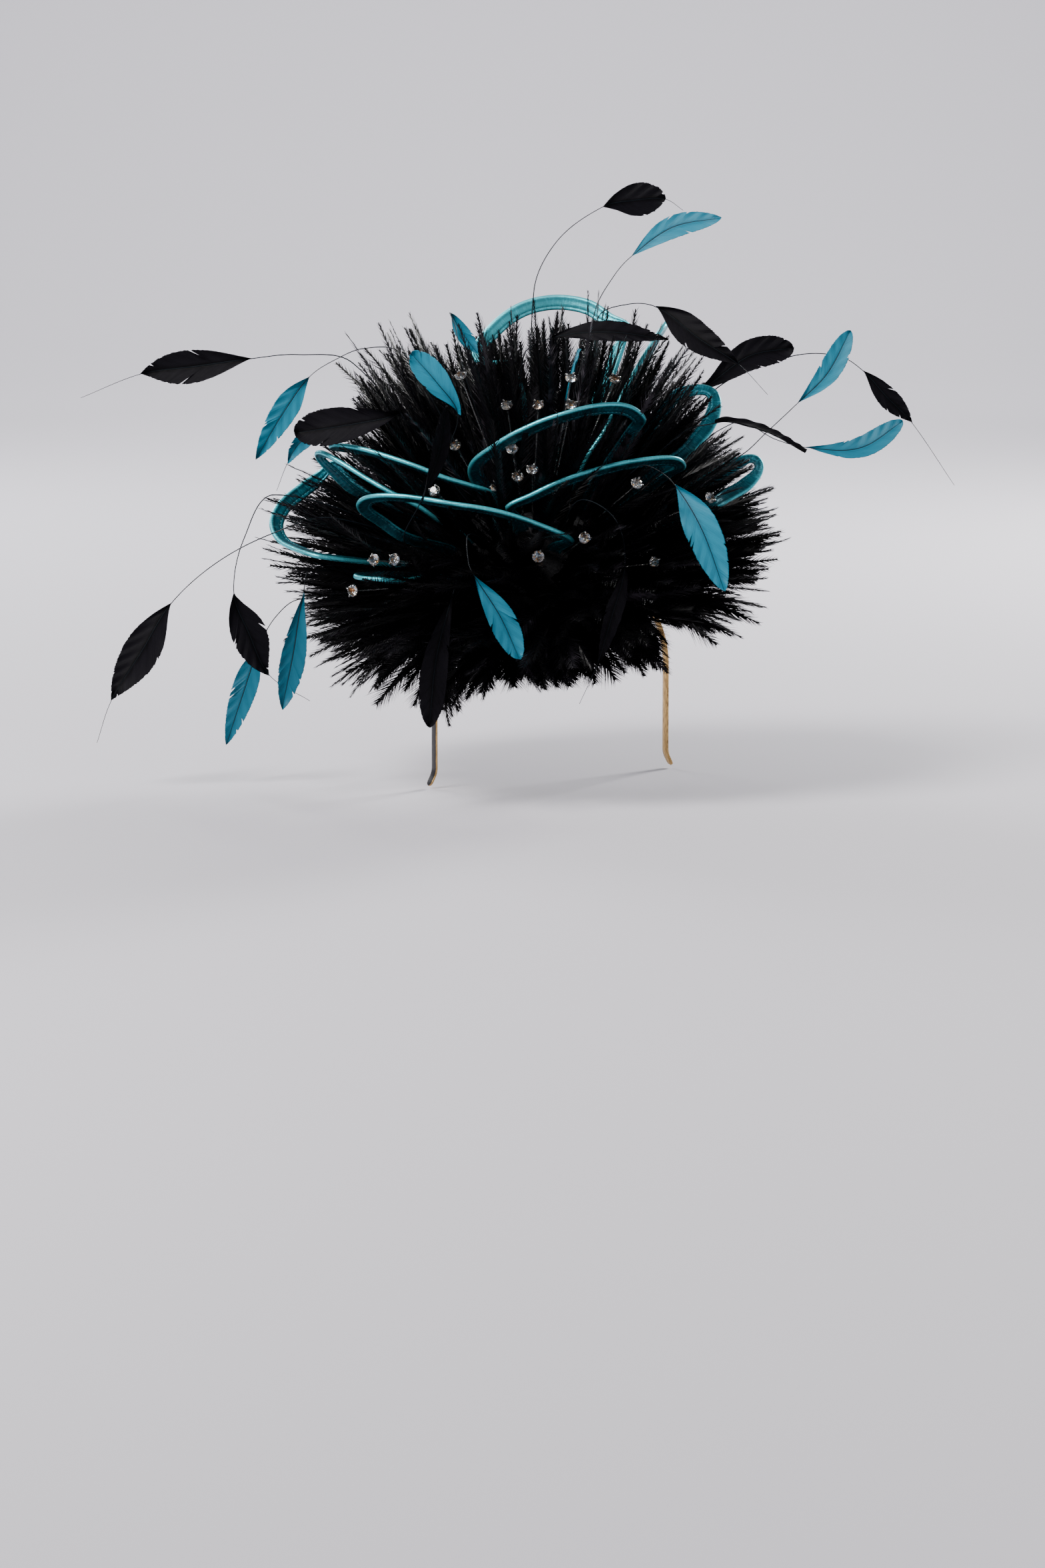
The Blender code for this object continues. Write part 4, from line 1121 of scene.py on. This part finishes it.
# where along a barb it is tested for touching a neighbour, and for hiding a loop
TOUCH_CHECKS = (0.0, 0.25, 0.5, 0.75, 1.0)
HIDING_CHECKS = (0.35, 0.9)
SHORTEST = 0.36
TUCKED_SHARE = 0.9
TRIES = 12
REACH_CHECKS = 24
TRIMS = 5
TRIM_REACH, TRIM_BEND = 0.88, 0.78
LEAST_REACH = 20
FOOT_SHARE = 0.93
FOOT_DEPTH = 4
LEAN_SCATTER = 5
TURN_SCATTER = 0.10
AIM_SCATTER = 0.11
LOW_CALM = 0.05
BEND_SCATTER = 6
FLAT_SCATTER = 0.45
DROOP_SPREAD = (0.4, 1.3)
FULLNESS_SPREAD = (0.7, 1.15)
TUFTS = 66
TUFT_BEND = 11
# least, most and likeliest: a hackle's size, how far it fills its tuft, and how far a tuft
# fills the outline, in the crown and below
SIZE_SPREAD = (0.62, 1.15, 0.98)
HACKLE_FILL = (0.84, 1.04, 1.0)
TUFT_FILL = (0.86, 1.04, 1.0)
RAGGED_FILL = (0.78, 1.24, 0.96)
RAGGED_FROM = 82
TUFT_PULL = 0.38
LOWEST_LEAN = 118.0
SIDE_REACH = 128.0
SHOWN_DEPTH = 45.0
DEEPEST_TIP = 142.0
LOW_TUFTS = 14
LOW_START, LOW_SPAN = 0.62, 0.38
LOW_PULL = 0.38
LOW_FROM = 60.0
HACKLE_DARK = (0.0007, 0.0007, 0.001, 1)
HACKLE_PALE = (0.006, 0.0055, 0.0075, 1)
HACKLE_PAINTED_GLINT = (0.030, 0.026, 0.033, 1)
SHOWN_LOOPS = ("upper", "middle", "left", "left_low", "front", "far_left", "far_right")
# the lean in degrees at which each piece of the rosette ends
GROUP_ENDS = {"hackles_top": 38, "hackles_upper": 58, "hackles_middle": 78, "hackles_lower": 96,
              "hackles_fringe": 180}
Tuft = namedtuple("Tuft", "direction bend share")
Hackle = namedtuple("Hackle", "foot aim flat bend reach fullness tone")
# lean from the axis in degrees, radius and height of the foot, reach, droop at the tip
HACKLE_BANDS = np.array((
    (0, 0, 122, 84, 0), (14, 20, 120, 86, 0), (32, 34, 112, 88, 4), (49, 45, 102, 88, 8),
    (65, 52, 91, 90, 12), (79, 56, 82, 86, 16), (90, 58, 77, 72, 22), (104, 58, 73, 52, 24),
    (118, 57, 70, 42, 20)))
# the outermost tips in the view: turn from the right in degrees, distance from the middle
TIP_OUTLINE = np.array((
    (-180, 148), (-166, 130), (-150, 106), (-134, 85), (-121, 82), (-104, 56), (-85, 65), (-60, 62),
    (-39, 84), (-18, 94), (-8, 112), (8, 138), (15, 144), (31, 158), (41, 146), (52, 160), (66, 167),
    (86, 162), (98, 150), (111, 148), (118, 165), (130, 171), (138, 146), (153, 148), (164, 158),
    (180, 148)))


def solid_tree(name, pieces, parts=None):
    """A search tree and an object of some pieces, or of the marked points of those in parts."""
    points, faces = [], []
    for piece in pieces:
        start = len(points)
        points += [v.co.copy() for v in piece.data.vertices]
        wanted = (parts or {}).get(piece.name)
        faces += [tuple(start + v for v in p.vertices) for p in piece.data.polygons
                  if wanted is None or all(wanted[v] for v in p.vertices)]
    mesh = bpy.data.meshes.new(name)
    mesh.from_pydata(points, [], faces)
    return BVHTree.FromPolygons(points, faces), bpy.data.objects.new(name, mesh)


cups, twisted = bpy.data.objects["crystal_cups"], bpy.data.objects["crystal_wires"]
neighbours, neighbour_thing = solid_tree("neighbours", loop_pieces + feather_pieces + [cups, twisted])
shown_pieces = [bpy.data.objects["satin_" + loop] for loop in SHOWN_LOOPS] + [cups] + feather_pieces
shown_tree, shown_thing = solid_tree("shown", shown_pieces, loop_routes)


def clear_share(foot, aim, reach, bend, behind):
    """The share of a hackle's reach that keeps clear of what is sewn on, and hides no loop."""
    for k in range(3, REACH_CHECKS + 1):
        share = k / REACH_CHECKS
        spot = foot + (reach * share * aim + share ** 2 * bend) * MM
        if (neighbours.find_nearest(spot, QUILL_CLEARANCE * MM)[0] is not None
                or behind and shown_tree.ray_cast(spot, -to_viewer, SHOWN_DEPTH * MM)[0] is not None):
            return (k - 1) / REACH_CHECKS
    return 1.0


def trimmed_to_outline(foot, aim, reach, bend, share):
    """Shortens a hackle until its tip stays inside a share of the outline seen in the view."""
    for _ in range(TRIMS):
        tip = (foot - ROSETTE_MIDDLE) / MM + reach * aim + bend
        across, up = tip.dot(to_right), tip.dot(to_top)
        edge = share * float(np.interp(atan2(up, across) * 180 / pi, *TIP_OUTLINE.T))
        deep = abs((foot / MM + reach * aim + bend).y)
        if (sqrt(across ** 2 + up ** 2) <= edge and deep <= DEEPEST_TIP) or reach < LEAST_REACH:
            break
        reach, bend = reach * TRIM_REACH, bend * TRIM_BEND
    return reach, bend


def lean_at(share):
    """The lean in radians above which the given share of the rosette's face lies."""
    return acos(1 - share * (1 - cos(radians(LOWEST_LEAN))))


def turn_of(count):
    """Turns round the axis that spread things evenly, however many they are."""
    return count * pi * (3 - sqrt(5))


def leaning(lean, turn):
    """A direction that leans from the rosette's axis, both angles in radians."""
    return cos(lean) * LEAN_AXIS + sin(lean) * (cos(turn) * base_side + sin(turn) * base_front)


def scatter(size):
    """A random step in any direction."""
    return Vector([dice.gauss(0, size) for _ in range(3)])


dice = Random(41)
tufts = []
for i in range(TUFTS + LOW_TUFTS):
    lean = lean_at((i + 0.5) / TUFTS if i < TUFTS
                   else LOW_START + LOW_SPAN * (i - TUFTS + 0.5) / LOW_TUFTS)
    turn = turn_of(i) + dice.uniform(-0.2, 0.2)
    fill = TUFT_FILL if lean < radians(RAGGED_FROM) else RAGGED_FILL
    tufts.append(Tuft(leaning(lean, turn), scatter(TUFT_BEND), dice.triangular(*fill)))

groups = {name: [] for name in GROUP_ENDS}
for i in range(HACKLES + SIDE_HACKLES):
    lean = lean_at((i + 0.5) / HACKLES if i < HACKLES
                   else (i - HACKLES + 0.5) / SIDE_HACKLES * SIDE_SHARE) * 180 / pi
    turn = turn_of(i)
    if i >= HACKLES and abs(leaning(radians(lean), turn).dot(to_viewer)) > sin(radians(SIDE_ANGLE)):
        continue
    best = None
    behind = dice.random() < TUCKED_SHARE
    for _ in range(TRIES):
        tilt = min(LOWEST_LEAN, max(0, lean + dice.gauss(0, LEAN_SCATTER)))
        aside = turn + dice.gauss(0, TURN_SCATTER)
        _, radius, height, reach, droop = (float(np.interp(tilt, HACKLE_BANDS[:, 0], column))
                                           for column in HACKLE_BANDS.T)
        foot = turned(radius * FOOT_SHARE, height - FOOT_DEPTH, aside)
        aim = leaning(radians(tilt), aside)
        tuft = max(tufts, key=lambda t: t.direction.dot(aim))
        low = max(0, tilt - LOW_FROM) / (LOWEST_LEAN - LOW_FROM)
        aim = aim.lerp(tuft.direction, TUFT_PULL + LOW_PULL * low)
        aim = (aim + scatter(AIM_SCATTER - LOW_CALM * low)).normalized()
        size = dice.triangular(*SIZE_SPREAD)
        sideways = 1 - aim.dot(to_viewer) ** 2
        reach += (SIDE_REACH - reach) * sideways ** 2 if tilt < 100 else 0
        bend = tuft.bend + scatter(BEND_SCATTER)
        bend.z -= droop * dice.uniform(*DROOP_SPREAD)
        reach, bend = trimmed_to_outline(foot, aim, reach * size + 4, bend * size ** 2,
                                         tuft.share * dice.triangular(*HACKLE_FILL))
        free = clear_share(foot, aim, reach, bend, behind)
        if best is None or free > best[0]:
            best = (free, foot, aim, reach, bend, tilt)
        if free == 1:
            break
    free, foot, aim, reach, bend, tilt = best
    if free < SHORTEST:
        continue
    flat = aim.cross(LEAN_AXIS.cross(aim)).normalized() if tilt > 4 else aim.orthogonal()
    group = next(name for name, end in GROUP_ENDS.items() if tilt <= end)
    groups[group].append(Hackle(foot, aim, flat + scatter(FLAT_SCATTER), bend * free ** 2 * MM,
                                reach * free * MM, dice.uniform(*FULLNESS_SPREAD), dice.random()))

hackle_finish = Finish("glossy_black_hackle", Specular_IOR_Level=0.16, Coat_Roughness=0.14)
tone = hackle_finish.read("tone")
streak = hackle_finish.place.noise(90, 3, 0.6)
# A few hackles, picked by tone and streak, get a clear coat, which is real gloss, and a lighter base
# colour, which is a painted highlight.
gloss_and_painted_glint = (tone + (streak - 0.5) * 0.4).step(0.95, 1.0)
black_dye = (tone + streak * 0.4).step(0.6, 1.35).blend(HACKLE_DARK, HACKLE_PALE)
hackle_finish.lead(Base_Color=gloss_and_painted_glint.blend(black_dye, HACKLE_PAINTED_GLINT), Coat_Weight=gloss_and_painted_glint * 0.9,
                   Roughness=0.38 - tone * 0.10 + streak * 0.1)

hackle_sizes = {
    "Barb pairs": BARB_PAIRS, "Barb radius": BARB_HALF * MM, "Barb length": BARB_LENGTH * MM,
    "Quill joints": QUILL_JOINTS, "Quill radius": HACKLE_QUILL_HALF * MM, "Vane width": VANE_HALF * MM,
    "Clearance": BARB_CLEARANCE * MM, "Shown depth": SHOWN_DEPTH * MM, "Seed": 3}


def hackle_growth(name):
    """The tree that grows each marked point into a hackle."""
    wires = growth(name, hackle_sizes)
    points = wires["Geometry"]

    def chance(low, high, seed):
        return points.node("FunctionNodeRandomValue", {"data_type": "FLOAT"}, {
            2: low, 3: high, 8: wires["Seed"] + seed}, out=1)

    def made_unit(vector):
        return points.maths("NORMALIZE", vector)

    def measured(vector):
        return points.node("ShaderNodeVectorMath", {"operation": "LENGTH"}, {0: vector}, out="Value")

    def along(share):
        return aim * (reach * share) + bend * (share * share)

    def tapered(sides, top):
        return points.node("GeometryNodeMeshCone", {"fill_type": "NGON"}, {
            "Vertices": sides, "Radius Top": top, "Radius Bottom": 1.0, "Depth": 1.0})

    aim, flat, bend = (stored(points, label, "FLOAT_VECTOR") for label in ("aim", "flat", "bend"))
    reach, fullness = stored(points, "reach"), stored(points, "fullness")
    parts = points.node("GeometryNodeJoinGeometry")

    def sprouts(amount):
        copies = points.node("GeometryNodeDuplicateElements", {"domain": "POINT"}, {
            "Geometry": points, "Amount": amount})
        return copies, Wire(points.tree, copies.socket.node.outputs["Duplicate Index"])

    def grow(copies, spot, direction, length, section, part, clear, margin):
        placed_so = points.node("GeometryNodeSetPosition", None, {"Geometry": copies, "Offset": spot})
        here = points.node("GeometryNodeInputPosition")
        closest = None
        stored_way = placed_so.node("GeometryNodeStoreNamedAttribute", {
            "data_type": "FLOAT_VECTOR", "domain": "POINT"}, {
            "Geometry": placed_so, "Name": "way", "Value": direction * length})
        way = stored(points, "way", "FLOAT_VECTOR")
        for share in TOUCH_CHECKS:
            near = points.node("GeometryNodeProximity", {"target_element": "FACES"}, {
                0: clear, "Source Position": here + way * share}, out="Distance")
            closest = near if closest is None else closest.least(near)
        hides = points.maths("LESS_THAN", closest, margin)
        for share in HIDING_CHECKS:
            hit = points.node("GeometryNodeRaycast", None, {
                "Target Geometry": shown, "Source Position": here + way * share,
                "Ray Direction": -to_viewer, "Ray Length": wires["Shown depth"]}, out="Is Hit")
            hides = hides.most(hit)
        kept = stored_way.node("GeometryNodeDeleteGeometry", {"domain": "POINT", "mode": "ALL"}, {
            "Geometry": stored_way, "Selection": hides})
        turn = points.node("FunctionNodeAxesToRotation", {"primary_axis": "Z", "secondary_axis": "X"}, {
            "Primary Axis": way, "Secondary Axis": points.maths("CROSS_PRODUCT", way, flat)})
        size = points.node("ShaderNodeCombineXYZ", None, {
            "X": section[0], "Y": section[1], "Z": measured(way)})
        spikes = points.node("GeometryNodeInstanceOnPoints", None, {
            "Points": kept, "Instance": part, "Rotation": turn, "Scale": size})
        points.tree.links.new(spikes.socket, parts.socket.node.inputs[0])

    clear = points.node("GeometryNodeObjectInfo", None, {"Object": neighbour_thing}, out="Geometry")
    shown = points.node("GeometryNodeObjectInfo", None, {"Object": shown_thing}, out="Geometry")

    copies, index = sprouts(wires["Barb pairs"] * 2)
    pair = index.maths("FLOOR", index * 0.5)
    side = (index - pair * 2) * 2 - 1
    share = ((pair + chance(0.0, 1.0, 1)) / wires["Barb pairs"]) ** 0.75 * 0.80 + 0.20
    ahead = made_unit(aim * reach + bend * (share * 2))
    across = made_unit(points.maths("CROSS_PRODUCT", ahead, flat))
    lift = points.maths("CROSS_PRODUCT", across, ahead)
    spread = (1 - share * 0.3) * chance(0.50, 0.85, 2)
    direction = made_unit(ahead + across * (side * spread) + lift * chance(-0.16, 0.16, 3))
    profile = (1 - share * 0.35) * ((1.1 - share) * 3.0).least(1.0)
    length = wires["Barb length"] * fullness * profile * chance(0.7, 1.1, 4)
    barb = wires["Barb radius"]
    grow(copies, along(share), direction, length, (barb * 1.3, barb * 0.8), tapered(3, 0.0), clear,
         wires["Clearance"])

    copies, index = sprouts(wires["Quill joints"])
    share = index / wires["Quill joints"]
    joint = along(share + 1.1 / QUILL_JOINTS) - along(share)
    width = wires["Vane width"] * fullness * (1 - share * share) ** 1.3
    grow(copies, along(share), made_unit(joint), measured(joint),
         (width, wires["Quill radius"] * (1 - share * 0.7)), tapered(4, 0.72), clear,
         wires["Clearance"] + width * 0.6)
    return wires, parts


for name, rows in groups.items():
    stand = carrier_of([row.foot for row in rows])
    for label in Hackle._fields[1:]:
        kind = "FLOAT_VECTOR" if label in ("aim", "flat", "bend") else "FLOAT"
        mark(stand, label, [getattr(row, label) for row in rows], kind)
    wires, spikes = hackle_growth(name)
    node = "hackle_skirt" if name in ("hackles_lower", "hackles_fringe") else "hackle_crown"
    grown(name, stand, wires, spikes, hackle_sizes, hackle_finish, "hackle", node)
for thing in (neighbour_thing, shown_thing):
    bpy.data.objects.remove(thing)
